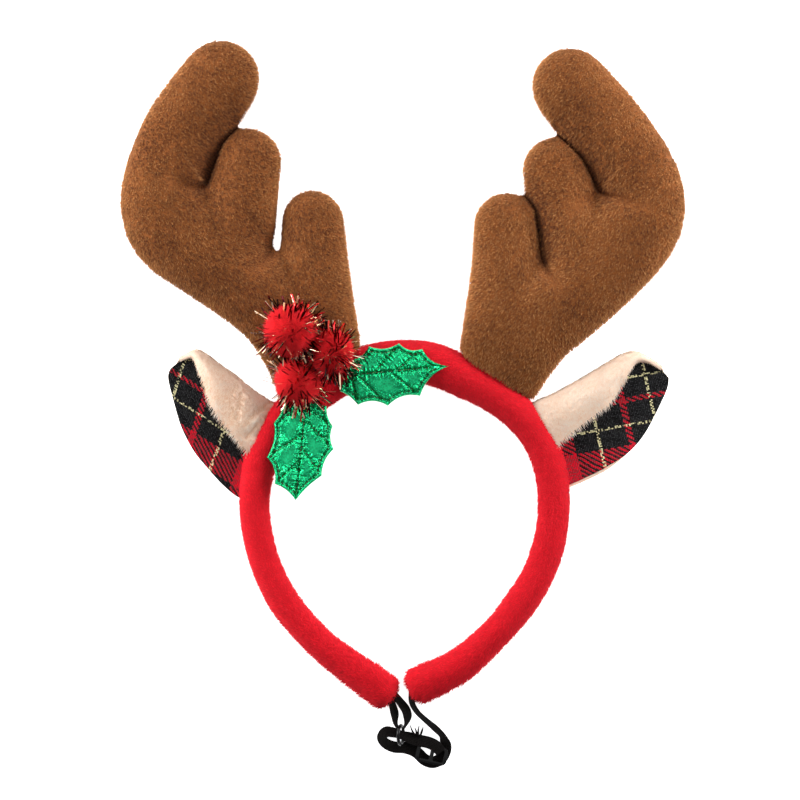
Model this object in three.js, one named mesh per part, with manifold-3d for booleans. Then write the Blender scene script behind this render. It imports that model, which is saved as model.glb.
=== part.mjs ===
// Reindeer antler headband: a padded plush loop with stuffed antlers, folded two-layer ears,
// holly leaves, pompom berries and an elastic fastening. It lies on its back on a flat surface.
// Millimetres. +X is the wearer's left as seen from the front, +Y runs towards the antler tips,
// and +Z is the front, away from the surface at Z = 0.
import * as THREE from "three";
import { mergeVertices } from "three/addons/utils/BufferGeometryUtils.js";
import Module from "manifold-3d";

const wasm = await Module();
wasm.setup();

// Builds a table's rows from its column names and its lines of values.
const table = (columns, ...lines) =>
  lines.map((line) => Object.fromEntries(columns.map((name, index) => [name, line[index]])));

// Driving dimensions

const GAP = 0.3; // between neighbouring pieces
const LAYER_GAP = 0.5; // between an ear's two layers
const SETTLE = 1.5; // how far a stuffed piece flattens where it rests
const BERRY_BUMP = 0.4; // depth of the tufts on a pompom
const BERRY_TUFTS = 0.75; // waves of the tufts in each millimetre, in radians
const BERRY_FACETS = 3;
const PLUSH_THICKNESS = 2;
const PLAID_THICKNESS = 1;
const LEAF_EDGE = 0.9; // thickness along a leaf's sewn edge
const LEAF_CROWN = 2.7; // thickness at a leaf's middle
const ELASTIC_THICKNESS = 0.8;
const ELASTIC_SIDES = 8;
const BAND_END_ROUND = 5; // length of the rounding at each end of the band
const BAND_END_ANGLES = [20, 45, 65, 80]; // of the rings that round each end
const BAND_END_BLUNTNESS = 0.7; // 1 is a round end, less is blunter
const BAND_STATIONS = 50;
const BAND_SIDES = 16;
const TINE_SIDES = 16;
const TINE_TIP_ANGLES = [20, 40, 60, 78]; // of the rings that round each tip

// The layout's origin is a point inside the loop. The object's own origin is below the middle of
// everything but the elastic.
const OBJECT_MIDDLE = { x: 1.3, y: 12.76 };

// Centreline of the band from its left end round the top to its right end, with the tube's size.
const BAND = table(
  ["x", "y", "width", "depth"],
  [-7.6, -146.5, 18, 15],
  [-25.5, -133.5, 16.5, 15.5],
  [-41, -121, 15.5, 16],
  [-55.5, -105, 15.5, 16],
  [-65.5, -87.5, 15.5, 16],
  [-71.3, -68.5, 15, 16],
  [-72.8, -50, 15.5, 16],
  [-69.6, -30.1, 17.8, 16.5],
  [-59.5, -11, 18.6, 17],
  [-43, 2.5, 18.5, 17.5],
  [-24.5, 14.5, 20, 17.5],
  [-4, 19.5, 21, 17.5],
  [17, 17.8, 21.5, 17.5],
  [37, 9, 20.5, 17.5],
  [55.5, -3, 18.5, 17],
  [69.5, -19.5, 17, 16.5],
  [76.3, -40, 16.5, 16],
  [76.8, -61, 16.5, 16],
  [71.3, -83, 16.5, 16],
  [60.5, -102, 16.5, 16],
  [46, -119, 16, 16],
  [28.4, -134.2, 17.4, 15.5],
  [9.4, -143, 18.8, 15],
);

// Each antler's three stuffed tines and the palm between their roots, from the root to the middle of
// the rounded tip: half is half the width seen from the front, thick is half the depth.
const ANTLERS = {
  antler_left: [
    table(
      ["x", "y", "half", "thick"],
      [-40, 6.5, 21.5, 7],
      [-48.9, 27.2, 20.8, 11.5],
      [-61.5, 46.5, 21.2, 13.5],
      [-82, 63, 21.5, 14.5],
      [-101, 76, 22, 15],
      [-111.7, 86, 23.9, 15],
      [-116.9, 99, 23.1, 15],
      [-115, 117.5, 21, 14.5],
      [-105.5, 137, 21.2, 13.5],
      [-90, 160.5, 19.5, 12.5],
    ),
    table(
      ["x", "y", "half", "thick"],
      [-88, 70, 18, 14],
      [-82, 83, 19.5, 13.8],
      [-80, 98.5, 19.2, 13.5],
      [-76.5, 119, 17, 12],
    ),
    table(
      ["x", "y", "half", "thick"],
      [-36.5, 9.5, 20, 7],
      [-39, 28, 19, 11.5],
      [-41, 46, 18, 13],
      [-43, 67.5, 17, 12.8],
      [-44, 89, 15.8, 11.5],
    ),
    table(["x", "y", "half", "thick"], [-44, 18, 21, 10], [-54, 39, 20, 13.3], [-67, 57, 15, 14]),
  ],
  antler_right: [
    table(
      ["x", "y", "half", "thick"],
      [47, 5.4, 20.4, 7],
      [56.4, 23.2, 21.5, 11.5],
      [67.3, 37.2, 21.4, 13.5],
      [83, 51, 22, 14.5],
      [98.5, 65.5, 22.5, 15],
      [110.5, 78.5, 23.2, 15],
      [118, 90.5, 23.6, 15],
      [119.7, 103, 22.3, 14.8],
      [114.7, 118, 21, 14.5],
      [100.3, 138.5, 20.6, 13.5],
      [85.5, 157, 19.3, 12.5],
    ),
    table(
      ["x", "y", "half", "thick"],
      [89, 66, 18, 14],
      [83, 92.5, 18.5, 13.5],
      [78.2, 115, 16.6, 12],
    ),
    table(
      ["x", "y", "half", "thick"],
      [46, 8.5, 19.5, 7],
      [49.5, 28, 19, 11.5],
      [51.5, 46, 18.2, 13],
      [53.5, 67.5, 17.3, 12.8],
      [53.5, 87.5, 16.3, 11.5],
    ),
    table(["x", "y", "half", "thick"], [51, 17, 20.5, 10], [61, 38, 19.5, 13.3], [76, 56, 13, 14]),
  ],
};

// Each ear from its base inside the band's edge to its tip: the lower edge, the fold along the top,
// the free edge of the folded flap, and the flap's height over the lower wall.
const EARS = {
  ear_left: table(
    ["lowX", "lowY", "foldX", "foldY", "flapX", "flapY", "rise"],
    [-75.5, -49.5, -58.3, -6.3, -72, -31, 5.5],
    [-81.5, -48.8, -63.1, -3.3, -77.5, -27, 8],
    [-89.3, -42.5, -73.2, 2.6, -84, -18.5, 11],
    [-97.2, -33.8, -83.2, 10.8, -91.5, -9, 11.5],
    [-104, -25.2, -92.1, 17, -95.5, 0, 11],
    [-110, -13.4, -97.8, 21.2, -98.5, 10.5, 9.5],
    [-114, 0, -102.5, 23.4, -103.3, 18.8, 7.5],
    [-116.6, 11, -107, 22, -107.8, 19, 5.5],
    [-115.6, 15.6, -110.6, 20, -111.4, 18, 4.5],
  ),
  ear_right: table(
    ["lowX", "lowY", "foldX", "foldY", "flapX", "flapY", "rise"],
    [80, -46.5, 61.6, -7.3, 73, -28, 5.5],
    [85.5, -44, 68.6, -2.3, 80, -22.5, 8],
    [92.5, -41, 79.6, 2.7, 88.5, -15.5, 11],
    [103.5, -35.5, 92.1, 9.6, 98, -8, 11.5],
    [114.5, -27.5, 104.6, 17.1, 105, -2, 11],
    [123, -17, 112.5, 21.4, 110.5, 7.5, 9.5],
    [129.5, -5, 118.9, 22.3, 117.4, 16.4, 7.5],
    [134.3, 5.6, 126, 19.4, 125.6, 16, 5.5],
    [135.2, 11.2, 131.2, 15.8, 131.2, 13.4, 4.5],
  ),
};
const EAR_FLOOR = 2.7; // height of the lower wall's middle surface
const EAR_FOLD_HEIGHT = 0.5; // height of the fold's outermost line, as a share of the flap's rise
const EAR_FLAP_DROOP = 0.85; // height of the flap's free edge, as a share of the flap's rise
const EAR_WALL_PLACE = 0.6; // where the lower wall starts to curl up, from the lower edge to the fold
const EAR_CREST_PLACE = 0.4; // where the flap is highest, from the fold to the free edge
const EAR_SECTION_POINTS = 11;
const EAR_STATIONS = 13;
const PLAID_INSET = 0.025; // how far the plaid stays inside the plush edge, as a share of the width

// Each holly leaf's points in order round the edge, the dip of the hollow that follows each point,
// and the height of the back of the leaf there.
const LEAVES = {
  holly_leaf_upper: table(
    ["x", "y", "dip", "height"],
    [-30, 4.5, 0.8, 16.3],
    [-21, -2.5, 2.2, 16.1],
    [-6, -3, 2.4, 15.9],
    [10, 2, 2.6, 16.3],
    [24.5, 17, 2.4, 17.4],
    [11, 25.5, 2, 16.6],
    [-0.5, 28.3, 2, 16.4],
    [-15.5, 26.8, 1.4, 16.4],
    [-24, 20, 0, 16.6],
  ),
  holly_leaf_lower: table(
    ["x", "y", "dip", "height"],
    [-57, 2, 1.2, 16.2],
    [-63, -11.5, 1.8, 16],
    [-66.5, -28.5, 1.8, 15.8],
    [-62.5, -41.8, 1.2, 16.4],
    [-52, -50, 0.8, 17.2],
    [-39, -37.8, 1.6, 16.6],
    [-33, -24.5, 1.4, 16],
    [-33.5, -13, 1, 16],
    [-36.5, -3, 0, 16.2],
  ),
};
const LEAF_ARC_POINTS = 4; // along the hollow between two points
const LEAF_RINGS = table(["share", "fill"], [1, 0], [0.84, -0.15], [0.5, 0.8], [0.2, 1]);

// The pompoms: the middle and the radius of each one's outer form.
const BERRIES = {
  berry_top: { x: -53.5, y: 33.8, z: 35.7, radius: 11.4 },
  berry_right: { x: -34.5, y: 23.5, z: 30.6, radius: 10.4 },
  berry_bottom: { x: -50, y: 9.5, z: 26.7, radius: 10.4 },
};

// Elastic routes: a point on the middle of the ribbon, its turn from lying flat towards standing
// on edge in degrees, and its width there.
const LOOP_ROUTE = table(
  ["x", "y", "z", "tilt", "width"],
  [-5.6, -148, 6.5, 120, 5.6],
  [-3.7, -153.4, 6.2, 126, 6],
  [-2.6, -157.8, 6.2, 130, 6],
  [-2.1, -162.6, 6.1, 114, 4.4],
  [0.4, -166.4, 6.3, 90, 2.6],
  [2.9, -162.9, 6.1, 68, 4.4],
  [3.8, -159.2, 6.2, 48, 6],
  [3, -155.6, 6.2, 44, 6],
  [0.3, -151.8, 6.2, 52, 6],
  [-3.4, -147, 6.5, 60, 5.6],
);
const STRAP_ROUTE = table(
  ["x", "y", "z", "tilt", "width"],
  [6.4, -143.5, 6.5, 62, 5.8],
  [5.8, -148.4, 5.8, 62, 6],
  [6.3, -152.8, 4.6, 62, 6],
  [9, -157.3, 3.6, 62, 6],
  [13.4, -161.4, 3.2, 60, 6],
  [18, -165.4, 3, 54, 6],
  [21.8, -169.6, 2.6, 54, 6],
  [23, -175, 0.95, 4, 6],
  [21.2, -180, 0.9, 0, 6],
  [17, -182.4, 0.9, 0, 6],
  [12.5, -181.2, 0.9, 0, 6],
  [8, -177.2, 0.95, -2, 6],
  [2.5, -175.1, 0.95, -2, 6],
  [-3, -174.7, 1.4, -12, 6],
  [-7.4, -172.6, 2.3, -24, 6],
  [-9.2, -169.7, 2.8, -30, 5.6],
  [-7.2, -167, 3.1, -30, 6],
  [-3.8, -167.1, 3.3, -24, 5.4],
  [0.4, -168.3, 3.5, -14, 4.4],
  [4.7, -169.7, 3.9, -10, 5.7],
  [10, -171.2, 4.3, -8, 6],
  [14.2, -172.1, 4.4, -3, 6],
  [18, -174, 4.4, 0, 6],
  [20.6, -177, 4.3, 0, 5.4],
);
const ELASTIC_STEPS = 64;
const RING = { x: 0.4, y: -168.2, z: 5.7, lean: 16, radius: 4.8, wire: 0.85, sides: 8, steps: 28 };
const SLIDER = {
  x: 16,
  y: -178.2,
  z: 1.7,
  turn: -13,
  length: 16,
  width: 9.4,
  thickness: 1.8,
  bar: 1.9, // across the middle and the ends
  rail: 1.6, // along the sides
  corner: 3,
  holeCorner: 0.8,
  cornerSteps: 4,
};

// Materials

const finish = (color, roughness, metalness = 0) =>
  new THREE.MeshStandardMaterial({ color, roughness, metalness });
const RED_PLUSH = finish(0xd8182c, 0.9);
const BROWN_PLUSH = finish(0x7a4a22, 0.95);
const CREAM_PLUSH = finish(0xf0dccb, 0.9);
const TARTAN = finish(0x241616, 0.8);
const GREEN_FOIL = finish(0x009657, 0.35, 0.5);
const BERRY_RED = finish(0xd81a26, 0.9);
const BLACK_ELASTIC = finish(0x141212, 0.75);
const BLACK_PLASTIC = finish(0x0c0c0c, 0.25);

// Curves and frames

const degrees = THREE.MathUtils.degToRad;

// The value of a smooth curve through four evenly spaced values, between the middle two.
function smoothBetween(before, start, end, after, part) {
  const leave = (end - before) / 2;
  const arrive = (after - start) / 2;
  const bend = 3 * (end - start) - 2 * leave - arrive;
  const twist = 2 * (start - end) + leave + arrive;
  return start + part * (leave + part * (bend + part * twist));
}

// Every column of a table at a place from 0, its first row, to 1, its last.
function rowAt(rows, place) {
  const last = rows.length - 1;
  const first = Math.min(Math.floor(place * last), last - 1);
  const part = place * last - first;
  const near = (index) => rows[THREE.MathUtils.clamp(index, 0, last)];
  const value = {};
  for (const name of Object.keys(rows[0])) {
    value[name] = smoothBetween(
      near(first - 1)[name],
      near(first)[name],
      near(first + 1)[name],
      near(first + 2)[name],
      part,
    );
  }
  return value;
}

// Rows spread evenly along a table, each with its point and its direction of travel.
function stationsAlong(rows, count) {
  const pointAt = (place) => {
    const row = rowAt(rows, THREE.MathUtils.clamp(place, 0, 1));
    return new THREE.Vector3(row.x, row.y, row.z ?? 0);
  };
  const nudge = 0.002;
  return Array.from({ length: count }, (_, index) => {
    const place = index / (count - 1);
    const along = pointAt(place + nudge).sub(pointAt(place - nudge)).normalize();
    return { ...rowAt(rows, place), point: pointAt(place), along };
  });
}

// Closed bodies

// A geometry from points and triangles, turned so that its faces point outwards.
function closedGeometry(points, triangles) {
  const volume = triangles.reduce(
    (sum, [a, b, c]) => sum + points[a].dot(points[b].clone().cross(points[c])),
    0,
  );
  const facing = volume < 0 ? triangles.map(([a, b, c]) => [a, c, b]) : triangles;
  const geometry = new THREE.BufferGeometry().setFromPoints(points);
  geometry.setIndex(facing.flat());
  return geometry;
}

// A body through rings of points, each closed to a point at both ends.
function loft(rings) {
  const sides = rings[0].length;
  const middleOf = (ring) =>
    ring.reduce((sum, point) => sum.add(point), new THREE.Vector3()).divideScalar(sides);
  const points = [...rings.flat(), middleOf(rings[0]), middleOf(rings.at(-1))];
  const startPole = points.length - 2;
  const endPole = points.length - 1;
  const triangles = [];
  const lastRing = (rings.length - 1) * sides;
  for (let side = 0; side < sides; side += 1) {
    const next = (side + 1) % sides;
    triangles.push([startPole, next, side], [endPole, lastRing + side, lastRing + next]);
    for (let base = 0; base < lastRing; base += sides) {
      triangles.push([base + side, base + next, base + sides + side]);
      triangles.push([base + next, base + sides + next, base + sides + side]);
    }
  }
  return closedGeometry(points, triangles);
}

// An oval ring about a point, kept above a floor.
function ovalRing(middle, across, up, halfWidth, halfHeight, sides, floor) {
  return Array.from({ length: sides }, (_, index) => {
    const angle = ((index + 0.5) / sides) * 2 * Math.PI;
    const point = middle.clone();
    point.addScaledVector(across, halfWidth * Math.cos(angle));
    point.addScaledVector(up, halfHeight * Math.sin(angle));
    point.z = Math.max(point.z, floor);
    return point;
  });
}

// A wall on a grid of points, between two distances from it along the grid's normals.
function thickSheet(grid, from, to) {
  const rows = grid.length;
  const columns = grid[0].length;
  const clampTo = (index, count) => THREE.MathUtils.clamp(index, 0, count - 1);
  const normalAt = (row, column) => {
    const line = (step) => grid[clampTo(row + step, rows)][column];
    const cross = (step) => grid[row][clampTo(column + step, columns)];
    const down = line(1).clone().sub(line(-1));
    const over = cross(1).clone().sub(cross(-1));
    return over.cross(down).normalize();
  };
  const points = [from, to].flatMap((distance) =>
    grid.flatMap((line, row) =>
      line.map((point, column) => point.clone().addScaledVector(normalAt(row, column), distance)),
    ),
  );
  const layer = rows * columns;
  const triangles = [];
  const quad = (a, b, c, d) => triangles.push([a, b, c], [a, c, d]);
  for (let row = 0; row < rows - 1; row += 1) {
    for (let column = 0; column < columns - 1; column += 1) {
      const at = row * columns + column;
      quad(at, at + 1, at + columns + 1, at + columns);
      quad(layer + at, layer + at + columns, layer + at + columns + 1, layer + at + 1);
    }
  }
  const rim = [];
  for (let column = 0; column < columns - 1; column += 1) rim.push(column);
  for (let row = 0; row < rows - 1; row += 1) rim.push(row * columns + columns - 1);
  for (let column = columns - 1; column > 0; column -= 1) rim.push((rows - 1) * columns + column);
  for (let row = rows - 1; row > 0; row -= 1) rim.push(row * columns);
  rim.forEach((at, index) => {
    const next = rim[(index + 1) % rim.length];
    quad(at, layer + at, layer + next, next);
  });
  return closedGeometry(points, triangles);
}

const WELD = 1e-4; // points nearer than this are one

// A geometry as a solid that can be joined and cut, and back.
function solidOf(geometry) {
  const bare = geometry.clone();
  bare.deleteAttribute("normal");
  bare.deleteAttribute("uv");
  const merged = mergeVertices(bare, WELD);
  return new wasm.Manifold(
    new wasm.Mesh({
      numProp: 3,
      vertProperties: merged.attributes.position.array,
      triVerts: new Uint32Array(merged.index.array),
    }),
  );
}

function geometryOf(solid) {
  const mesh = solid.getMesh();
  const geometry = new THREE.BufferGeometry();
  geometry.setAttribute("position", new THREE.BufferAttribute(mesh.vertProperties, 3));
  geometry.setIndex(new THREE.BufferAttribute(mesh.triVerts, 1));
  return geometry;
}

// Pieces

const UP = new THREE.Vector3(0, 0, 1);
const acrossOf = (along) => new THREE.Vector3(-along.y, along.x, 0).normalize();

// The padded tube, or with grow the room that it takes from a neighbour.
function bandGeometry(grow) {
  const stations = stationsAlong(BAND, BAND_STATIONS);
  const ringAt = (station, move, scale) => {
    const middle = station.point.clone().addScaledVector(station.along, move);
    middle.z = station.depth / 2 - SETTLE;
    const halfWidth = (station.width / 2) * scale + grow;
    const halfDepth = (station.depth / 2) * scale + grow;
    return ovalRing(middle, acrossOf(station.along), UP, halfWidth, halfDepth, BAND_SIDES, -grow);
  };
  const endRings = (station, way) =>
    BAND_END_ANGLES.map(degrees).map((angle) => {
      const move = way * (BAND_END_ROUND + grow) * Math.sin(angle);
      return ringAt(station, move, Math.cos(angle) ** BAND_END_BLUNTNESS);
    });
  return loft([
    ...endRings(stations[0], -1).reverse(),
    ...stations.map((station) => ringAt(station, 0, 1)),
    ...endRings(stations.at(-1), 1),
  ]);
}

// One stuffed tine with a rounded tip, flattened where it rests.
function tineGeometry(rows) {
  const stations = stationsAlong(rows, rows.length * 2 - 1);
  const ringAt = (station, move, scale) => {
    const middle = station.point.clone().addScaledVector(station.along, move);
    middle.z = station.thick - SETTLE;
    const halfWidth = station.half * scale;
    const halfDepth = station.thick * scale;
    return ovalRing(middle, acrossOf(station.along), UP, halfWidth, halfDepth, TINE_SIDES, 0);
  };
  const tip = stations.at(-1);
  const tipRings = TINE_TIP_ANGLES.map(degrees).map((angle) =>
    ringAt(tip, tip.half * Math.sin(angle), Math.cos(angle)),
  );
  return loft([...stations.map((station) => ringAt(station, 0, 1)), ...tipRings]);
}

function antlerGeometry(tines, bandRoom) {
  const joined = tines.map((rows) => solidOf(tineGeometry(rows))).reduce((a, b) => a.add(b));
  return geometryOf(joined.subtract(bandRoom));
}

// The surface between an ear's two layers: rows from base to tip, each from the lower edge round
// the fold to the flap's free edge.
function earGrid(rows, inset) {
  return Array.from({ length: EAR_STATIONS }, (_, station) => {
    const row = rowAt(rows, (station / (EAR_STATIONS - 1)) * (1 - inset));
    const low = new THREE.Vector3(row.lowX, row.lowY, EAR_FLOOR);
    const fold = new THREE.Vector3(row.foldX, row.foldY, EAR_FLOOR + row.rise * EAR_FOLD_HEIGHT);
    const flap = new THREE.Vector3(row.flapX, row.flapY, EAR_FLOOR + row.rise * EAR_FLAP_DROOP);
    const wall = low.clone().lerp(fold, EAR_WALL_PLACE).setZ(EAR_FLOOR);
    const crest = fold.clone().lerp(flap, EAR_CREST_PLACE).setZ(EAR_FLOOR + row.rise);
    const section = [low, wall, fold, crest, flap].map(({ x, y, z }) => ({ x, y, z }));
    return Array.from({ length: EAR_SECTION_POINTS }, (_, step) => {
      const place = inset + (step / (EAR_SECTION_POINTS - 1)) * (1 - 2 * inset);
      const { x, y, z } = rowAt(section, place);
      return new THREE.Vector3(x, y, z);
    });
  });
}

// One layer of an ear, cut where it meets the band. Outside is the side away from the fold's hollow.
function earLayerGeometry(rows, inset, near, thickness, outside, bandRoom) {
  const sheet = thickSheet(earGrid(rows, inset), outside * near, outside * (near + thickness));
  return geometryOf(solidOf(sheet).subtract(bandRoom));
}

// A padded leaf: hollow arcs between its points, a pillowed front and a flat back.
function leafGeometry(corners) {
  const count = corners.length;
  const middle = corners
    .reduce((sum, { x, y, height }) => sum.add(new THREE.Vector3(x, y, height)), new THREE.Vector3())
    .divideScalar(count);
  const edge = corners.flatMap((corner, index) => {
    const next = corners[(index + 1) % count];
    const start = new THREE.Vector3(corner.x, corner.y, corner.height);
    const end = new THREE.Vector3(next.x, next.y, next.height);
    const inward = acrossOf(end.clone().sub(start));
    const pull = start.clone().lerp(end, 0.5).addScaledVector(inward, corner.dip * 2);
    const arc = new THREE.QuadraticBezierCurve3(start, pull, end);
    return arc.getPoints(LEAF_ARC_POINTS).slice(0, -1);
  });
  const front = LEAF_RINGS.map(({ share, fill }) => {
    const rise = LEAF_EDGE + fill * (LEAF_CROWN - LEAF_EDGE);
    return edge.map((point) => middle.clone().lerp(point, share).addScaledVector(UP, rise));
  });
  return loft([edge, ...front]);
}

// A pompom's outer form, a ball with soft tufts.
function berryGeometry({ radius }) {
  const ball = new THREE.IcosahedronGeometry(radius, BERRY_FACETS);
  const position = ball.getAttribute("position");
  const point = new THREE.Vector3();
  for (let index = 0; index < position.count; index += 1) {
    point.fromBufferAttribute(position, index);
    const [across, along, up] = point.toArray().map((side) => Math.sin(side * BERRY_TUFTS));
    const wave = across * along * up;
    point.setLength(radius - BERRY_BUMP * (0.5 - 0.5 * wave));
    position.setXYZ(index, point.x, point.y, point.z);
  }
  return ball;
}

// A flat ribbon along a route, with rounded edges.
function ribbonGeometry(route, steps) {
  const rings = stationsAlong(route, steps).map((station) => {
    const tilt = degrees(station.tilt);
    const flat = acrossOf(station.along);
    const across = flat.multiplyScalar(Math.cos(tilt)).addScaledVector(UP, Math.sin(tilt));
    across.addScaledVector(station.along, -across.dot(station.along)).normalize();
    const face = station.along.clone().cross(across);
    const corner = Math.PI / ELASTIC_SIDES;
    const halfWidth = station.width / 2 / Math.cos(corner);
    const halfThickness = ELASTIC_THICKNESS / 2 / Math.cos(corner);
    return ovalRing(station.point, across, face, halfWidth, halfThickness, ELASTIC_SIDES, 0);
  });
  return loft(rings);
}

// A moulded slider: a rounded plate with two openings and a bar between them.
function sliderGeometry(size) {
  const halfLength = size.length / 2;
  const halfWidth = size.width / 2;
  const roundedBox = (path, left, right, low, high, radius) => {
    path.moveTo(left + radius, low);
    path.lineTo(right - radius, low);
    path.absarc(right - radius, low + radius, radius, -Math.PI / 2, 0, false);
    path.absarc(right - radius, high - radius, radius, 0, Math.PI / 2, false);
    path.absarc(left + radius, high - radius, radius, Math.PI / 2, Math.PI, false);
    path.absarc(left + radius, low + radius, radius, Math.PI, 1.5 * Math.PI, false);
    return path;
  };
  const outline = new THREE.Shape();
  const plate = roundedBox(outline, -halfLength, halfLength, -halfWidth, halfWidth, size.corner);
  const high = halfWidth - size.rail;
  for (const side of [-1, 1]) {
    const [left, right] = [size.bar / 2, halfLength - size.bar].map((x) => x * side).sort((a, b) => a - b);
    plate.holes.push(roundedBox(new THREE.Path(), left, right, -high, high, size.holeCorner));
  }
  return new THREE.ExtrudeGeometry(plate, {
    depth: size.thickness,
    bevelEnabled: false,
    curveSegments: size.cornerSteps,
  });
}

// Assembly

const layout = new THREE.Group();
layout.position.set(-OBJECT_MIDDLE.x, -OBJECT_MIDDLE.y, 0);

function addPiece(name, geometry, material) {
  geometry.computeVertexNormals();
  const mesh = new THREE.Mesh(geometry, material);
  mesh.name = name;
  layout.add(mesh);
  return mesh;
}

addPiece("headband", bandGeometry(0), RED_PLUSH);
const bandRoom = solidOf(bandGeometry(GAP));

for (const [name, tines] of Object.entries(ANTLERS)) {
  addPiece(name, antlerGeometry(tines, bandRoom), BROWN_PLUSH);
}

for (const [name, rows] of Object.entries(EARS)) {
  const outside = name === "ear_left" ? -1 : 1;
  const plushNear = LAYER_GAP / 2;
  const plaidNear = -LAYER_GAP / 2;
  const plush = earLayerGeometry(rows, 0, plushNear, PLUSH_THICKNESS, outside, bandRoom);
  const plaid = earLayerGeometry(rows, PLAID_INSET, plaidNear, -PLAID_THICKNESS, outside, bandRoom);
  addPiece(`${name}_plush`, plush, CREAM_PLUSH);
  addPiece(`${name}_plaid`, plaid, TARTAN);
}

for (const [name, corners] of Object.entries(LEAVES)) {
  addPiece(name, leafGeometry(corners), GREEN_FOIL);
}

for (const [name, berry] of Object.entries(BERRIES)) {
  addPiece(name, berryGeometry(berry), BERRY_RED).position.set(berry.x, berry.y, berry.z);
}

// The elastic starts inside the ends of the band and shows from there on.
const leavingBand = (ribbon) => geometryOf(solidOf(ribbon).subtract(bandRoom));
const loop = ribbonGeometry(LOOP_ROUTE, ELASTIC_STEPS / 2);
addPiece("elastic_loop", leavingBand(loop), BLACK_ELASTIC);
const strap = ribbonGeometry(STRAP_ROUTE, ELASTIC_STEPS);
addPiece("elastic_strap", leavingBand(strap), BLACK_ELASTIC);

const hoop = new THREE.TorusGeometry(RING.radius, RING.wire, RING.sides, RING.steps);
const ring = addPiece("elastic_ring", hoop, BLACK_PLASTIC);
ring.position.set(RING.x, RING.y, RING.z);
ring.rotation.y = degrees(90 - RING.lean);

const slider = addPiece("elastic_slider", sliderGeometry(SLIDER), BLACK_PLASTIC);
slider.position.set(SLIDER.x, SLIDER.y, SLIDER.z);
slider.rotation.z = degrees(SLIDER.turn);

const headpiece = new THREE.Group();
headpiece.add(layout);

export default headpiece;
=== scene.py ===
"""Looks of a reindeer antler headband that lies on its back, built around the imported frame.

Tables are in millimetres on the layout, whose origin is a point inside the loop. Meshes are in metres
in the frame.
"""

import math

import bmesh
import bpy
import numpy as np
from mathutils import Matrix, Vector, noise


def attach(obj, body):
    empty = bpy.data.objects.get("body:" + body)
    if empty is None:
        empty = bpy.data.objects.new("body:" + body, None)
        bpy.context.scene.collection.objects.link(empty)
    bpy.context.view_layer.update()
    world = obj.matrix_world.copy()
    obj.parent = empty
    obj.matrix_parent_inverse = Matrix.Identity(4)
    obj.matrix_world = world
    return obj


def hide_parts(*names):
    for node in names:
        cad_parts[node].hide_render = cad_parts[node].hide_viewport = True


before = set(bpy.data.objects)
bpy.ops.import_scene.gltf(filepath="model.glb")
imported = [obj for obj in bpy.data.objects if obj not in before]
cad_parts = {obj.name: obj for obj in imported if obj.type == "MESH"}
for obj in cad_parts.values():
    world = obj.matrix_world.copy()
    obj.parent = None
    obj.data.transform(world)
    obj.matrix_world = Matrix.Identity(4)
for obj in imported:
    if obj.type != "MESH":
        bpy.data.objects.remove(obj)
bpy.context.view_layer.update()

# Driving dimensions

MM = 0.001
LAYOUT_MIDDLE = (1.3, 12.76)  # the frame's origin on the layout
PICTURE_WIDTH = 400  # what the picture takes in at the focus height
FOCUS_HEIGHT = 12
CAMERA_RISE = 1500  # of the camera over the focus height
SETTLE = 1.5  # how far the stuffed pieces flatten where they rest
ELASTIC_THICKNESS = 0.8
ELASTIC_WIDTH = 6
PILE_ROOM = 0.6  # how far a plush cover lies inside the CAD solid, to leave room for its pile
LAYER_GAP = 0.5
PLUSH_THICKNESS = 1.3  # without its pile
PLAID_THICKNESS = 1
EAR_FLOOR = 2.7
EAR_FOLD_HEIGHT = 0.5
EAR_FLAP_DROOP = 0.85
EAR_WALL_PLACE = 0.6
EAR_CREST_PLACE = 0.4
LEAF_EDGE = 0.9
LEAF_CROWN = 2.7
MERGE_GAP = 1e-6  # metres between points that are one
LOW_PILE = {"least": 0.3, "rise": 2}  # pile is shorter near the floor: its least share, and over what rise


def table(columns, *lines):
    """Rows of named values, from the column names and the lines of values."""
    names = columns.split()
    return [dict(zip(names, line)) for line in lines]


# Places

def placed(points):
    """Frame points in metres for layout points in millimetres."""
    return (np.asarray(points, float) - (*LAYOUT_MIDDLE, 0)) * MM


def smooth_rows(rows, places):
    """Every column of a table at places from 0 to 1, on a smooth curve through its rows."""
    names = list(rows[0])
    values = np.array([[row[name] for name in names] for row in rows], float)
    spot = np.clip(places, 0, 1) * (len(rows) - 1)
    first = np.minimum(spot.astype(int), len(rows) - 2)
    part = (spot - first)[:, None]
    before, start, end, after = (values[np.clip(first + step, 0, len(rows) - 1)] for step in (-1, 0, 1, 2))
    bend = 2 * before - 5 * start + 4 * end - after
    twist = 3 * start - before - 3 * end + after
    curve = start + 0.5 * part * (end - before + part * (bend + part * twist))
    return dict(zip(names, curve.T))


def seam_place(points, start, end):
    """Distance of flat points from a straight seam between two flat points, and their place along it."""
    run = end - start
    share = np.clip((points - start) @ run / (run @ run), 0, 1)
    return np.linalg.norm(points - start - share[:, None] * run, axis=1), share * np.linalg.norm(run)


def turns(count):
    """Even angles round a circle."""
    return np.linspace(0, 2 * np.pi, count, endpoint=False)


def travelled(points):
    """The length of a line of points up to each of them."""
    return np.concatenate([[0], np.cumsum(np.linalg.norm(np.diff(points, axis=0), axis=1))])


def bell(distance, width):
    """1 at no distance, fading smoothly to 0 beyond about twice a width."""
    return np.exp(-((distance / width) ** 2))


def unit(vectors):
    """Vectors made one long."""
    return vectors / np.maximum(np.linalg.norm(vectors, axis=-1, keepdims=True), 1e-12)


def rough(points, scale, seed):
    """Smooth noise between -1 and 1 at points, with features about scale across."""
    return np.array([noise.noise(Vector(point) / scale + Vector((seed, seed * 0.7, 0))) for point in points])


# Node trees

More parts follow.
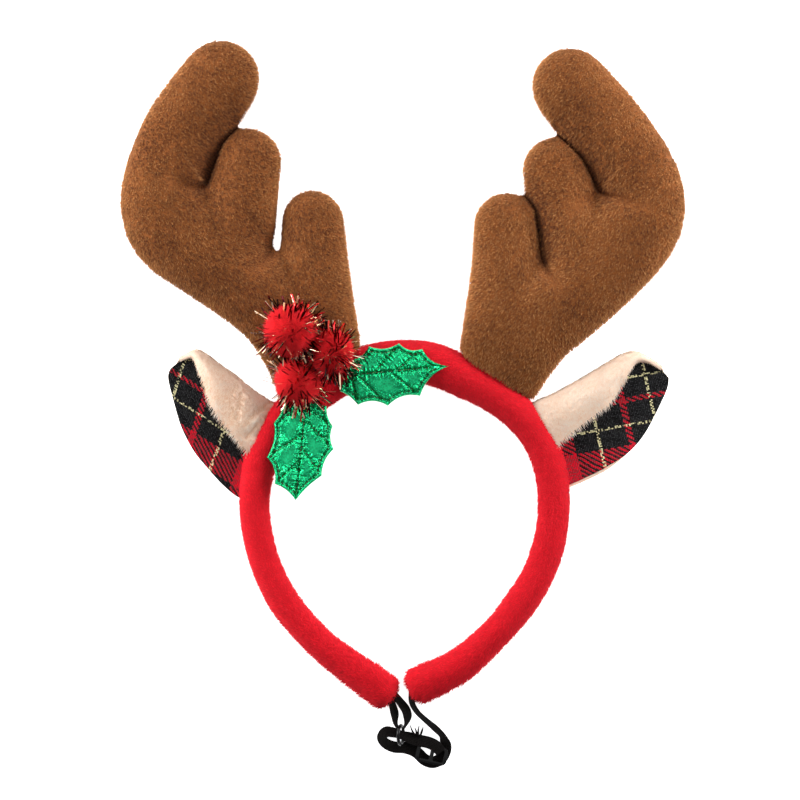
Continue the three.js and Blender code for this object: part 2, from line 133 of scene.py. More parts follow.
class Link:
    """A socket of a node tree. Arithmetic on it adds Math nodes."""

    def __init__(self, tree, socket):
        self.tree = tree
        self.socket = socket

    def math(self, operation, *values):
        return self.tree.node("ShaderNodeMath", {"operation": operation}, dict(enumerate(values)))

    def other(self, name):
        """Another output of the same node."""
        return Link(self.tree, self.socket.node.outputs[name])

    def __add__(self, value):
        return self.math("ADD", self, value)

    def __sub__(self, value):
        return self.math("SUBTRACT", self, value)

    def __rsub__(self, value):
        return self.math("SUBTRACT", value, self)

    def __mul__(self, value):
        return self.math("MULTIPLY", self, value)

    def __truediv__(self, value):
        return self.math("DIVIDE", self, value)

    def __lt__(self, value):
        return self.math("LESS_THAN", self, value)

    __radd__ = __add__

    def floor(self):
        return self.math("FLOOR", self)

    def fraction(self):
        return self.math("FRACT", self)

    def power(self, value):
        return self.math("POWER", self, value)

    def absolute(self):
        return self.math("ABSOLUTE", self)

    def clamped(self):
        """The value held between 0 and 1."""
        return self.math("MINIMUM", self.math("MAXIMUM", self, 0.0), 1.0)


class Tree:
    """A node tree that is being built."""

    def __init__(self, nodes):
        self.nodes = nodes

    def node(self, kind, settings=(), sockets=(), output=0):
        """Adds a node: its settings come first, then the values or links of its sockets."""
        made = self.nodes.nodes.new(kind)
        for name, value in dict(settings).items():
            if name == "stops":
                while len(made.color_ramp.elements) < len(value):
                    made.color_ramp.elements.new(1)
                for element, (place, colour) in zip(made.color_ramp.elements, value):
                    element.position = place
                    element.color = (*colour, 1)
            elif name == "interpolation" and hasattr(made, "color_ramp"):
                made.color_ramp.interpolation = value
            else:
                setattr(made, name, value)
        for name, value in dict(sockets).items():
            if isinstance(value, Link):
                self.nodes.links.new(value.socket, made.inputs[name])
            else:
                made.inputs[name].default_value = value
        return Link(self, made.outputs[output]) if made.outputs else None

    def vector(self, operation, *values):
        return self.node("ShaderNodeVectorMath", {"operation": operation}, dict(enumerate(values)))

    def scaled(self, vector, size):
        return self.node("ShaderNodeVectorMath", {"operation": "SCALE"}, {"Vector": vector, "Scale": size})


class Finish(Tree):
    """A material that is being built around one Principled shader."""

    def __init__(self, name, **constants):
        self.material = bpy.data.materials.new(name)
        self.material.use_nodes = True
        super().__init__(self.material.node_tree)
        self.shader = self.nodes.nodes["Principled BSDF"]
        for label, value in constants.items():
            self.shader.inputs[label.replace("_", " ")].default_value = value

    def feed(self, name, value):
        """Links a value that changes over the surface to the shader."""
        self.nodes.links.new(value.socket, self.shader.inputs[name])

    def mixed(self, share, first, second):
        """A colour between two others."""
        sockets = {0: share, 6: first, 7: second}
        for place in (6, 7):
            if isinstance(sockets[place], tuple):
                sockets[place] = (*sockets[place], 1)
        return self.node("ShaderNodeMix", {"data_type": "RGBA"}, sockets, 2)

    def map(self, name):
        """The two coordinates of a UV map."""
        both = self.node("ShaderNodeSeparateXYZ", (), {0: self.node("ShaderNodeUVMap", {"uv_map": name})})
        return both, both.other("Y")

    def attribute(self, name):
        return self.node("ShaderNodeAttribute", {"attribute_name": name}, output="Fac")

    def cloud(self, size, detail=2, roughness=0.5):
        """Noise from 0 to 1 with features of a size in millimetres."""
        sockets = {"Vector": self.node("ShaderNodeTexCoord", output="Object"), "Scale": 1 / (size * MM),
                   "Detail": detail, "Roughness": roughness}
        return self.node("ShaderNodeTexNoise", (), sockets)

    def bump(self, height, depth):
        """Tilts the shading by a height from 0 to 1 that stands for a depth in millimetres."""
        sockets = {"Height": height, "Distance": depth * MM, "Strength": 1}
        self.feed("Normal", self.node("ShaderNodeBump", (), sockets))


def linear(red, green, blue):
    """A shader colour from screen values of 0 to 255."""
    parts = (red, green, blue)
    return tuple(((part / 255 + 0.055) / 1.055) ** 2.4 if part > 10 else part / 3294 for part in parts)


# Meshes

def add_object(name, data):
    piece = bpy.data.objects.new(name, data)
    bpy.context.scene.collection.objects.link(piece)
    return piece


def mesh_piece(name, points, faces, finish, smooth=True):
    """A mesh object from points in metres and faces."""
    mesh = bpy.data.meshes.new(name)
    mesh.from_pydata([tuple(point) for point in points], [], [tuple(face) for face in faces])
    mesh.polygons.foreach_set("use_smooth", [smooth] * len(mesh.polygons))
    mesh.materials.append(finish.material)
    return add_object(name, mesh)


def grid_faces(rows, columns, round_rows=False, round_columns=False):
    """Four-sided faces of a grid of points, closed round where asked."""
    row_steps = rows if round_rows else rows - 1
    column_steps = columns if round_columns else columns - 1
    return [
        (
            row * columns + column,
            row * columns + (column + 1) % columns,
            (row + 1) % rows * columns + (column + 1) % columns,
            (row + 1) % rows * columns + column,
        )
        for row in range(row_steps)
        for column in range(column_steps)
    ]


def outward(piece):
    """Turns the faces of a closed piece outwards."""
    work = bmesh.new()
    work.from_mesh(piece.data)
    bmesh.ops.recalc_face_normals(work, faces=work.faces)
    if work.calc_volume(signed=True) < 0:
        bmesh.ops.reverse_faces(work, faces=work.faces)
    work.to_mesh(piece.data)
    work.free()
    return piece


def tube_shape(rings):
    """Points and faces through rings of points, with a fan over each end."""
    count, sides = rings.shape[:2]
    points = np.vstack([rings.reshape(-1, 3), rings[0].mean(0), rings[-1].mean(0)])
    faces = grid_faces(count, sides, round_columns=True)
    first_tip, last_tip = count * sides, count * sides + 1
    last_ring = (count - 1) * sides
    for side in range(sides):
        after = (side + 1) % sides
        faces.append((first_tip, after, side))
        faces.append((last_tip, last_ring + side, last_ring + after))
    return points, faces


def closed_tube(name, rings, finish):
    return outward(mesh_piece(name, *tube_shape(rings), finish))


def set_map(piece, name, coordinates):
    """Gives a piece a UV map from two coordinates for each vertex."""
    layer = piece.data.uv_layers.new(name=name)
    corners = np.empty(len(piece.data.loops), int)
    piece.data.loops.foreach_get("vertex_index", corners)
    layer.uv.foreach_set("vector", np.asarray(coordinates, np.float32)[corners].ravel())


def set_numbers(piece, name, values):
    """Gives a piece a number, or a vector, for each vertex."""
    values = np.asarray(values, np.float32)
    kind, field = ("FLOAT", "value") if values.ndim == 1 else ("FLOAT_VECTOR", "vector")
    piece.data.attributes.new(name, kind, "POINT").data.foreach_set(field, values.ravel())


def vertex_points(piece):
    points = np.empty(len(piece.data.vertices) * 3)
    piece.data.vertices.foreach_get("co", points)
    return points.reshape(-1, 3)


def layout_points(piece):
    return vertex_points(piece) / MM + (*LAYOUT_MIDDLE, 0)


def vertex_normals(piece):
    normals = np.empty(len(piece.data.vertices) * 3)
    piece.data.vertex_normals.foreach_get("vector", normals)
    return normals.reshape(-1, 3)


def move_vertices(piece, points):
    piece.data.vertices.foreach_set("co", np.asarray(points).ravel())
    piece.data.update()


def smoothed(piece):
    """Shades a piece as one smooth surface."""
    piece.data.polygons.foreach_set("use_smooth", [True] * len(piece.data.polygons))
    return piece


def plain(piece):
    """Turns a piece with modifiers into a plain mesh."""
    shape = bpy.data.meshes.new_from_object(piece.evaluated_get(bpy.context.evaluated_depsgraph_get()))
    piece.modifiers.clear()
    piece.data = shape
    return piece


def node_copy(name, node, finish):
    """A new piece with a copy of a CAD node's mesh, its doubles merged."""
    work = bmesh.new()
    work.from_mesh(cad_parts[node].data)
    bmesh.ops.remove_doubles(work, verts=work.verts, dist=MERGE_GAP)
    mesh = bpy.data.meshes.new(name)
    work.to_mesh(mesh)
    work.free()
    mesh.materials.clear()
    mesh.materials.append(finish.material)
    return add_object(name, mesh)


def low_reach(points):
    """How far the pile reaches at points in millimetres: less near the floor, so that it stays above it."""
    return np.clip(LOW_PILE["least"] + (points[:, 2] - PILE_ROOM) / LOW_PILE["rise"], LOW_PILE["least"], 1)


def finished(piece, slot, *nodes):
    """Hands a finished piece to the frame."""
    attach(piece, "root")
    if nodes:
        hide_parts(*nodes)
    return piece


# Repeated shapes

STRAND_LENGTHS = (0.7, 1.25)  # the least and the greatest share of the length that is asked for
STRAND_WIDTHS = (0.75, 1.2)
STRIP_LENGTHS = (0.6, 1.3)
TINT = {"stray": 0.25, "patch": 0.8, "tuft": 2.6, "start": 1.2}  # what a strand's tint is the sum of
MAP_ROOM = {"margin": 0.05, "span": 0.9, "side": 0.03}  # how the strands lie in their map


def geometry_tree(name, inputs):
    """A Geometry Nodes tree with named inputs, and the node that gives them."""
    group = bpy.data.node_groups.new(name, "GeometryNodeTree")
    group.interface.new_socket("Mesh", in_out="INPUT", socket_type="NodeSocketGeometry")
    for label, kind in inputs.items():
        group.interface.new_socket(label, in_out="INPUT", socket_type=f"NodeSocket{kind}")
    group.interface.new_socket("Geometry", in_out="OUTPUT", socket_type="NodeSocketGeometry")
    tree = Tree(group)
    return tree, tree.node("NodeGroupInput")


def grown(name, base, group, values):
    """The plain mesh piece that a tree grows on a base mesh."""
    piece = add_object(name, base.data)
    modifier = piece.modifiers.new(name, "NODES")
    modifier.node_group = group
    for label, value in values.items():
        modifier[group.interface.items_tree[label].identifier] = value
    return plain(piece)


def named(tree, name, kind):
    return tree.node("GeometryNodeInputNamedAttribute", {"data_type": kind}, {"Name": name})


def random_number(tree, low, high, seed):
    sockets = {2: low, 3: high, "Seed": seed}
    return tree.node("FunctionNodeRandomValue", {"data_type": "FLOAT"}, sockets, 1)


def stored(tree, geometry, name, kind, domain, value):
    settings = {"data_type": kind, "domain": domain}
    sockets = {"Geometry": geometry, "Name": name, "Value": value}
    return tree.node("GeometryNodeStoreNamedAttribute", settings, sockets)


def scattered(tree, start, share):
    """Random points on a mesh, as many as its named share says, and a random vector for each."""
    density = start.other("Density") * named(tree, share, "FLOAT")
    sockets = {"Mesh": start, "Density": density, "Seed": start.other("Seed")}
    points = tree.node("GeometryNodeDistributePointsOnFaces", {"distribute_method": "RANDOM"}, sockets)
    corner = (1.0, 1.0, 1.0)
    sockets = {0: tuple(-side for side in corner), 1: corner, "Seed": start.other("Seed")}
    stray = tree.node("FunctionNodeRandomValue", {"data_type": "FLOAT_VECTOR"}, sockets)
    return points, tree.scaled(stray, start.other("Spread"))


def planted_on(tree, points, strand, upright, size):
    """A strand on each point, turned upright and scaled. Each one remembers its height and its side."""
    spot = tree.node("ShaderNodeSeparateXYZ", (), {0: tree.node("GeometryNodeInputPosition")})
    strand = stored(tree, strand, "height", "FLOAT", "POINT", spot.other("Z"))
    strand = stored(tree, strand, "side", "FLOAT", "POINT", spot)
    turn = tree.node("FunctionNodeAlignRotationToVector", {"axis": "Z"}, {"Vector": upright})
    sockets = {"Points": points, "Instance": strand, "Rotation": turn, "Scale": size}
    return tree.node("GeometryNodeInstanceOnPoints", (), sockets)


def mapped(tree, planted):
    """Strands turned into one mesh, with their tint and height in its map."""
    whole = tree.node("GeometryNodeRealizeInstances", (), {0: planted})
    tint, height = (named(tree, name, "FLOAT") * MAP_ROOM["span"] for name in ("tint", "height"))
    across = tint + MAP_ROOM["margin"] + named(tree, "side", "FLOAT") * MAP_ROOM["side"]
    along = height + MAP_ROOM["margin"]
    both = tree.node("ShaderNodeCombineXYZ", (), {0: across, 1: along})
    return stored(tree, whole, "OFBake", "FLOAT2", "CORNER", both)


def coloured(tree, start, whole):
    """Ends a tree with a mesh in the finish that it was given."""
    whole = tree.node("GeometryNodeSetMaterial", (), {"Geometry": whole, "Material": start.other("Finish")})
    tree.node("NodeGroupOutput", (), {0: whole})
    return tree.nodes


def pile_tree():
    """Short spikes all over a mesh. They lean along its nap, and their map holds a tint and the height."""
    inputs = {"Density": "Float", "Length": "Float", "Width": "Float", "Spread": "Float", "Patch": "Float",
              "Tuft": "Float", "Own": "Float", "Seed": "Int", "Finish": "Material"}
    tree, start = geometry_tree("pile", inputs)
    points, stray = scattered(tree, start, "cover")
    lean = tree.vector("ADD", named(tree, "nap", "FLOAT_VECTOR"), stray)
    upright = tree.vector("ADD", points.other("Normal"), lean)
    length = start.other("Length") * named(tree, "reach", "FLOAT") * random_number(tree, *STRAND_LENGTHS, 3)
    width = start.other("Width") * random_number(tree, *STRAND_WIDTHS, 4)
    size = tree.node("ShaderNodeCombineXYZ", (), {0: width, 1: width, 2: length})

    sockets = {"Vertices": 3, "Side Segments": 1, "Fill Segments": 1, "Radius Top": 0.0, "Radius Bottom": 0.5,
               "Depth": 1.0}
    spike = tree.node("GeometryNodeMeshCone", {"fill_type": "NGON"}, sockets)
    planted = planted_on(tree, points, spike, upright, size)
    patch = tree.node("ShaderNodeTexNoise", (), {"Scale": start.other("Patch"), "Detail": 1.0})
    tuft = tree.node("ShaderNodeTexNoise", (), {"Scale": start.other("Tuft"), "Detail": 1.0})
    tint = random_number(tree, -TINT["stray"], TINT["stray"], 5) + patch * TINT["patch"] + tuft * TINT["tuft"]
    # Each cover adds its own tone to the tint, and the light and shade painted on it.
    tint = tint - TINT["start"] + named(tree, "lift", "FLOAT")
    planted = stored(tree, planted, "tint", "FLOAT", "INSTANCE", tint.clamped())
    planted = stored(tree, planted, "facing", "FLOAT_VECTOR", "INSTANCE", points.other("Normal"))
    whole = tree.node("GeometryNodeSetShadeSmooth", (), {0: mapped(tree, planted)})
    own = tree.scaled(tree.node("GeometryNodeInputNormal"), start.other("Own"))
    facing = tree.vector("NORMALIZE", tree.vector("ADD", named(tree, "facing", "FLOAT_VECTOR"), own))
    settings = {"mode": "FREE", "domain": "POINT"}
    whole = tree.node("GeometryNodeSetMeshNormal", settings, {"Mesh": whole, "Custom Normal": facing})
    return coloured(tree, start, whole)


def tinsel_tree():
    """Flat strips that stand out of a ball, with a tint and the height in their map."""
    inputs = {"Density": "Float", "Length": "Float", "Width": "Float", "Thickness": "Float",
              "Spread": "Float", "Seed": "Int", "Finish": "Material"}
    tree, start = geometry_tree("tinsel", inputs)
    points, stray = scattered(tree, start, "strips")
    upright = tree.vector("ADD", points.other("Normal"), stray)
    length = start.other("Length") * random_number(tree, *STRIP_LENGTHS, 3)
    sockets = {0: start.other("Width"), 1: start.other("Thickness"), 2: length}
    size = tree.node("ShaderNodeCombineXYZ", (), sockets)
    strip = tree.node("GeometryNodeMeshCube", (), {"Size": (1.0, 1.0, 1.0)})
    sockets = {"Geometry": strip, "Translation": (0.0, 0.0, 0.5)}
    strip = tree.node("GeometryNodeTransform", (), sockets)
    planted = planted_on(tree, points, strip, upright, size)
    planted = stored(tree, planted, "tint", "FLOAT", "INSTANCE", random_number(tree, 0.0, 1.0, 5))
    return coloured(tree, start, mapped(tree, planted))


def stitch_tree():
    """Straight stitches along the edges of a mesh."""
    inputs = {"Spacing": "Float", "Length": "Float", "Width": "Float", "Finish": "Material"}
    tree, start = geometry_tree("stitches", inputs)
    route = tree.node("GeometryNodeMeshToCurve", (), {"Mesh": start})
    sockets = {"Curve": route, "Length": start.other("Spacing")}
    points = tree.node("GeometryNodeResampleCurve", {"mode": "LENGTH"}, sockets)
    way = tree.node("GeometryNodeInputTangent")
    turn = tree.node("FunctionNodeAlignRotationToVector", {"axis": "Z"}, {"Vector": way})
    thread = tree.node("GeometryNodeMeshCylinder", (), {"Vertices": 6, "Radius": 0.5, "Depth": 1.0})
    width = start.other("Width")
    size = tree.node("ShaderNodeCombineXYZ", (), {0: width, 1: width, 2: start.other("Length")})
    sockets = {"Points": points, "Instance": thread, "Rotation": turn, "Scale": size}
    planted = tree.node("GeometryNodeInstanceOnPoints", (), sockets)
    return coloured(tree, start, tree.node("GeometryNodeRealizeInstances", (), {0: planted}))


# Finishes

ROOT_FADE = 0.6  # power by which a strand's root colour gives way to its tip's
PATCH_SIZE = 1.6  # of a skin's colour
NUB = {"size": 0.8, "depth": 0.3}  # the roughness of a skin
YARN = 0.8  # between the middles of neighbouring yarns of the tartan
SETT = 70  # repeat of the tartan's stripes
GOLD_PLACES = (28.8, 57.6)  # from the start of the repeat to the middles of its gold yarns
YARN_SWAY = {"size": 5, "yarns": 1.4}  # how the tartan's yarns wander
YARN_SHADES = {"worn": 0.6, "lit": 0.3, "painted_glint": 0.35}  # shares of black that darkens a yarn at random, of even colour over the shade painted at a yarn's edges, and of grey painted on crossing crowns as a highlight
YARN_HEIGHT = 0.3
GOLD_FLOATS = {"hidden": 0.4, "gain": 3, "edge": 0.4}  # the share of gold yarn that is hidden, and its fades
FOIL_CLOUDS = {"broad": 4, "fine": 0.8}
FOIL_HEIGHTS = {"broad": 0.25, "fine": 0.1, "pucker": 0.3}
# Painted light and shade of the foil: how much the broad and fine clouds and the puckers paint its colour
# lighter and darker, like the glints and shade of its crinkles, its middle tone, and how much a seam is
# painted darker as shade
FOIL_PAINTED_LIGHT = {"broad": 0.6, "fine": 0.8, "pucker": 1.6, "middle": 0.55, "seam": 0.35}
FOIL_DEPTH = 1.5
GLOSS = {"foil": (0.2, 0.1), "plastic": (0.15, 0.12)}  # how much the roughness varies, and its least
RIB = {"across": 0.75, "along": 0.9, "slant": 0.5, "share": 0.7, "depth": 0.25}  # of the elastic's braid


def strand_finish(name, root, shade, light):
    """Plush strands: a root colour, and tips from shade to light by their tint."""
    finish = Finish(name, Roughness=1)
    tint, height = finish.map("OFBake")
    tip = finish.mixed(tint, linear(*shade), linear(*light))
    finish.feed("Base Color", finish.mixed(height.power(ROOT_FADE), linear(*root), tip))
    return finish


def skin_finish(name, shade, light):
    """The backing under a pile, in soft patches."""
    finish = Finish(name, Roughness=1)
    finish.feed("Base Color", finish.mixed(finish.cloud(PATCH_SIZE, 3), linear(*shade), linear(*light)))
    finish.bump(finish.cloud(NUB["size"]), NUB["depth"])
    return finish


def ridges(place):
    """Rounded ridges from 0 to 1, one for each whole step of a place."""
    return 1 - (place.fraction() * 2 - 1).power(2)


def tartan_finish():
    """A two-by-two twill of black and red yarns, with single gold yarns that float over it unevenly."""
    black, red, gold = linear(3, 3, 4), linear(236, 18, 46), linear(255, 246, 190)
    widths = table("width colour", (16.4, red), (25.6, black), (3.2, red), (24.8, black))
    stops = []
    reached = 0
    for stripe in widths:
        stops.append((reached / SETT, stripe["colour"]))
        reached += stripe["width"]
    finish = Finish("tartan", Roughness=0.85, Specular_IOR_Level=0.12)
    across, along = finish.map("weave")
    sway = (finish.cloud(YARN_SWAY["size"]) - 0.5) * YARN_SWAY["yarns"]
    warp, weft = (line / YARN + sway for line in (across, along))
    ramp = {"stops": stops, "interpolation": "CONSTANT"}
    places = [((line.floor() + 0.5) * (YARN / SETT)).fraction() for line in (warp, weft)]
    colours = [finish.node("ShaderNodeValToRGB", ramp, {0: place}) for place in places]
    over = ((warp.floor() + weft.floor()) / 4).fraction() < 0.5
    colour = finish.mixed(over, colours[1], colours[0])
    spot = finish.node("ShaderNodeCombineXYZ", (), {0: warp.floor(), 1: weft.floor()})
    chance = finish.node("ShaderNodeTexWhiteNoise", {"noise_dimensions": "2D"}, {"Vector": spot})
    colour = finish.mixed(chance * YARN_SHADES["worn"], colour, (0.0, 0.0, 0.0))
    # A yarn is painted darker towards its edges as shade, and grey where raised crowns cross, as a highlight.
    crowns = [ridges(line) for line in (warp, weft)]
    crown = crowns[0] * over + crowns[1] * (1 - over)
    painted_yarn_shade = finish.mixed(crown.power(0.5), (0.0, 0.0, 0.0), colour)
    colour = finish.mixed(YARN_SHADES["lit"], painted_yarn_shade, colour)
    knot = crowns[0] * crowns[1]
    painted_glint = knot.power(3) * chance * YARN_SHADES["painted_glint"]
    colour = finish.mixed(painted_glint, colour, linear(150, 150, 154))
    spans = [(place - middle / SETT).absolute() for place in places for middle in GOLD_PLACES]
    golden = sum(span < YARN / SETT for span in spans)
    seen = ((chance - GOLD_FLOATS["hidden"]) * GOLD_FLOATS["gain"]).clamped()
    seen = golden.clamped() * seen * knot.power(GOLD_FLOATS["edge"])
    finish.feed("Base Color", finish.mixed(seen, colour, gold))
    finish.bump(crown, YARN_HEIGHT)
    return finish


def foil_finish():
    """Crinkled green foil cloth, rougher along its seams, with the light and shade of its crinkles painted
    into its colour, most along its seams, and shade painted in its seams.
    """
    finish = Finish("green_foil", Metallic=0.85, Specular_IOR_Level=0.6, Coat_Weight=0.15,
                    Coat_Roughness=0.12)
    pucker = finish.attribute("pucker")
    broad = finish.cloud(FOIL_CLOUDS["broad"])
    fine = finish.cloud(FOIL_CLOUDS["fine"], 3, 0.6)
    height = broad * FOIL_HEIGHTS["broad"] + fine * (pucker * FOIL_HEIGHTS["pucker"] + FOIL_HEIGHTS["fine"])
    # The colour is painted lighter and darker with the same clouds as the bumps, as the light and shade of
    # the crinkles, and darker along the seams as shade.
    painted_crinkle_light = (fine - 0.5) * (pucker * FOIL_PAINTED_LIGHT["pucker"] + FOIL_PAINTED_LIGHT["fine"])
    shade = (painted_crinkle_light + (broad - 0.5) * FOIL_PAINTED_LIGHT["broad"] + FOIL_PAINTED_LIGHT["middle"]).clamped()
    colour = finish.mixed(shade, linear(0, 116, 62), linear(22, 222, 144))
    seam = finish.attribute("seam") * FOIL_PAINTED_LIGHT["seam"]
    finish.feed("Base Color", finish.mixed(seam, colour, linear(0, 62, 34)))
    finish.feed("Roughness", fine * GLOSS["foil"][0] + GLOSS["foil"][1])
    finish.bump(height, FOIL_DEPTH)
    return finish


def thread_finish():
    """Dull sewing thread."""
    finish = Finish("leaf_thread", Roughness=0.8)
    finish.feed("Base Color", finish.mixed(finish.cloud(0.5), linear(50, 46, 20), linear(112, 84, 50)))
    return finish


def elastic_finish():
    """Black braided elastic with ribs along it, their crests painted lighter as a highlight."""
    finish = Finish("black_elastic", Roughness=0.9, Specular_IOR_Level=0.1)
    across, along = finish.map("weave")
    braid = ridges((along + across * RIB["slant"]) / RIB["along"])
    height = ridges(across / RIB["across"]) * RIB["share"] + braid * (1 - RIB["share"])
    # Rib crests are painted lighter, as a highlight, and the grooves darker.
    finish.feed("Base Color", finish.mixed(height.power(2), linear(1, 1, 1), linear(24, 20, 19)))
    finish.bump(height, RIB["depth"])
    return finish


def plastic_finish():
    """Glossy black moulded plastic with faint flow marks."""
    finish = Finish("black_plastic", Specular_IOR_Level=0.22)
    flow = finish.cloud(2.5)
    finish.feed("Base Color", finish.mixed(flow, linear(3, 3, 3), linear(9, 9, 10)))
    finish.feed("Roughness", flow * GLOSS["plastic"][0] + GLOSS["plastic"][1])
    return finish


def tinsel_finish():
    """Metallic strips, most of them dark red and some gold."""
    finish = Finish("tinsel", Metallic=0.95, Roughness=0.16)
    tint = finish.map("OFBake")[0]
    stops = ((0, linear(40, 3, 8)), (0.28, linear(130, 8, 20)), (0.45, linear(14, 6, 6)),
             (0.64, linear(255, 226, 190)), (0.86, linear(214, 40, 44)))
    ramp = {"stops": stops, "interpolation": "CONSTANT"}
    finish.feed("Base Color", finish.node("ShaderNodeValToRGB", ramp, {0: tint}))
    return finish


def floor_finish():
    finish = Finish("floor", Roughness=0.9, Emission_Strength=1)
    for name in ("Base Color", "Emission Color"):
        finish.shader.inputs[name].default_value = (FLOOR_WHITE, FLOOR_WHITE, FLOOR_WHITE, 1)
    return finish


BROWN_SKIN = skin_finish("brown_skin", (110, 58, 20), (150, 86, 34))
BROWN_PILE = strand_finish("brown_pile", (88, 43, 14), (60, 26, 6), (236, 160, 92))
RED_SKIN = skin_finish("red_skin", (188, 4, 22), (220, 10, 32))
RED_PILE = strand_finish("red_pile", (222, 4, 30), (212, 2, 28), (252, 26, 46))
CREAM_SKIN = skin_finish("cream_skin", (246, 212, 184), (255, 232, 212))
CREAM_PILE = strand_finish("cream_pile", (244, 204, 170), (238, 192, 156), (255, 252, 244))
# The berries' core is painted dark red, as the shade deep among the fibres that shows through their gaps.
BERRY_CORE_SHADE = skin_finish("berry_skin", (110, 0, 8), (160, 4, 14))
BERRY_PILE = strand_finish("berry_pile", (206, 0, 18), (176, 0, 12), (255, 40, 48))
TARTAN = tartan_finish()
FOIL = foil_finish()
THREAD = thread_finish()
ELASTIC = elastic_finish()
PLASTIC = plastic_finish()
TINSEL = tinsel_finish()
PILE = pile_tree()
STRIPS = tinsel_tree()
STITCHES = stitch_tree()
# The plushes: strands on a square metre, their length, width and stray, patches and tufts of tint in a metre,
# and how much of a strand's own facing is mixed with that of the cover it grows from
PLUSHES = {
    row["plush"]: row
    for row in table(
        "plush density length width stray patches tufts own finish",
        ("red", 2.4e6, 1.3, 0.38, 0.5, 160.0, 600.0, 0.5, RED_PILE),
        ("brown", 1.9e6, 1.7, 0.46, 0.55, 50.0, 1100.0, 0.5, BROWN_PILE),
        ("cream", 3.4e6, 2.2, 0.38, 0.3, 120.0, 800.0, 0.5, CREAM_PILE),
        ("berry", 1.3e7, 3.9, 0.42, 0.6, 240.0, 1000.0, 0.8, BERRY_PILE),
    )
}


def pile_on(name, cover, plush, seed):
    """The pile of a plush, grown on a cover."""
    row = PLUSHES[plush]
    values = {"Density": row["density"], "Length": row["length"] * MM, "Width": row["width"] * MM,
              "Spread": row["stray"], "Patch": row["patches"], "Tuft": row["tufts"], "Own": row["own"],
              "Seed": seed, "Finish": row["finish"].material}
    return grown(name, cover, PILE, values)


# Camera and light

# The lamps and the floor are in metres, and a lamp's power is in watts
LAMPS = table(
    "name x y rise side power",
    ("left_lamp", -0.72, 0.2, 0.36, 0.4, 7.2),
    ("right_lamp", 0.72, 0.2, 0.36, 0.4, 6.2),
    ("head_lamp", 0, 0.85, 0.5, 0.5, 4.2),
    ("top_lamp", 0, 0.1, 2.1, 1.6, 5.8),
)
SKY_STRENGTH = 0.3
FLOOR_HALF = 3
FLOOR_WHITE = 0.94


def add_camera():
    """Looks straight down on the front, as the picture does."""
    lens = bpy.data.cameras.new("camera")
    lens.sensor_width = 36
    lens.lens = lens.sensor_width * CAMERA_RISE / PICTURE_WIDTH
    camera = add_object("camera", lens)
    camera.location = placed((0, 0, FOCUS_HEIGHT + CAMERA_RISE))
    bpy.context.scene.camera = camera


def add_lamp(name, x, y, rise, side, power):
    """A square soft lamp that points at the object."""
    lamp = bpy.data.lights.new(name, "AREA")
    lamp.size = side
    lamp.energy = power
    holder = add_object(name, lamp)
    holder.location = (x, y, rise)
    holder.rotation_euler = (-holder.location).to_track_quat("-Z", "Y").to_euler()
    holder.visible_camera = False


def add_studio():
    """A pale floor, an even sky and soft lamps, all white."""
    corners = [(x * FLOOR_HALF, y * FLOOR_HALF, 0) for x, y in ((-1, -1), (1, -1), (1, 1), (-1, 1))]
    floor = mesh_piece("floor", corners, [(0, 1, 2, 3)], floor_finish(), smooth=False)
    world = bpy.data.worlds.new("sky")
    bpy.context.scene.world = world
    world.use_nodes = True
    sky = world.node_tree.nodes["Background"]
    sky.inputs["Color"].default_value = (1, 1, 1, 1)
    sky.inputs["Strength"].default_value = SKY_STRENGTH
    for lamp in LAMPS:
        add_lamp(**lamp)
    bpy.context.scene.view_settings.view_transform = "Standard"


add_camera()
add_studio()


# Elastic

LOOP_ROUTE = table(
    "x y z tilt width",
    (-5.6, -148, 6.5, 120, 5.6),
    (-3.7, -153.4, 6.2, 126, 6),
    (-2.6, -157.8, 6.2, 130, 6),
    (-2.1, -162.6, 6.1, 114, 4.4),
    (0.4, -166.4, 6.3, 90, 2.6),
    (2.9, -162.9, 6.1, 68, 4.4),
    (3.8, -159.2, 6.2, 48, 6),
    (3, -155.6, 6.2, 44, 6),
    (0.3, -151.8, 6.2, 52, 6),
    (-3.4, -147, 6.5, 60, 5.6),
)
STRAP_ROUTE = table(
    "x y z tilt width",
    (6.4, -143.5, 6.5, 62, 5.8),
    (5.8, -148.4, 5.8, 62, 6),
    (6.3, -152.8, 4.6, 62, 6),
    (9, -157.3, 3.6, 62, 6),
    (13.4, -161.4, 3.2, 60, 6),
    (18, -165.4, 3, 54, 6),
    (21.8, -169.6, 2.6, 54, 6),
    (23, -175, 0.95, 4, 6),
    (21.2, -180, 0.9, 0, 6),
    (17, -182.4, 0.9, 0, 6),
    (12.5, -181.2, 0.9, 0, 6),
    (8, -177.2, 0.95, -2, 6),
    (2.5, -175.1, 0.95, -2, 6),
    (-3, -174.7, 1.4, -12, 6),
    (-7.4, -172.6, 2.3, -24, 6),
    (-9.2, -169.7, 2.8, -30, 5.6),
    (-7.2, -167, 3.1, -30, 6),
    (-3.8, -167.1, 3.3, -24, 5.4),
    (0.4, -168.3, 3.5, -14, 4.4),
    (4.7, -169.7, 3.9, -10, 5.7),
    (10, -171.2, 4.3, -8, 6),
    (14.2, -172.1, 4.4, -3, 6),
    (18, -174, 4.4, 0, 6),
    (20.6, -177, 4.3, 0, 5.4),
)
ELASTIC_SIDES = 18
ELASTIC_SQUARENESS = 0.6  # power that squares the ribbon's section
ELASTIC_STEPS = {"loop": 90, "strap": 220}
FRAYED_THREADS = table(
    "x y reachX reachY bow",
    (7.6, -168.4, -2.4, 5, 1.5),
    (8.4, -168.6, -1, 4, -1),
    (9.2, -168.8, 0.4, 5.2, 1),
    (9.8, -169, 1.8, 4.8, -1.5),
    (10.4, -169.2, 0.9, 4.2, 1),
)
FRAY_HEIGHT = 4.6
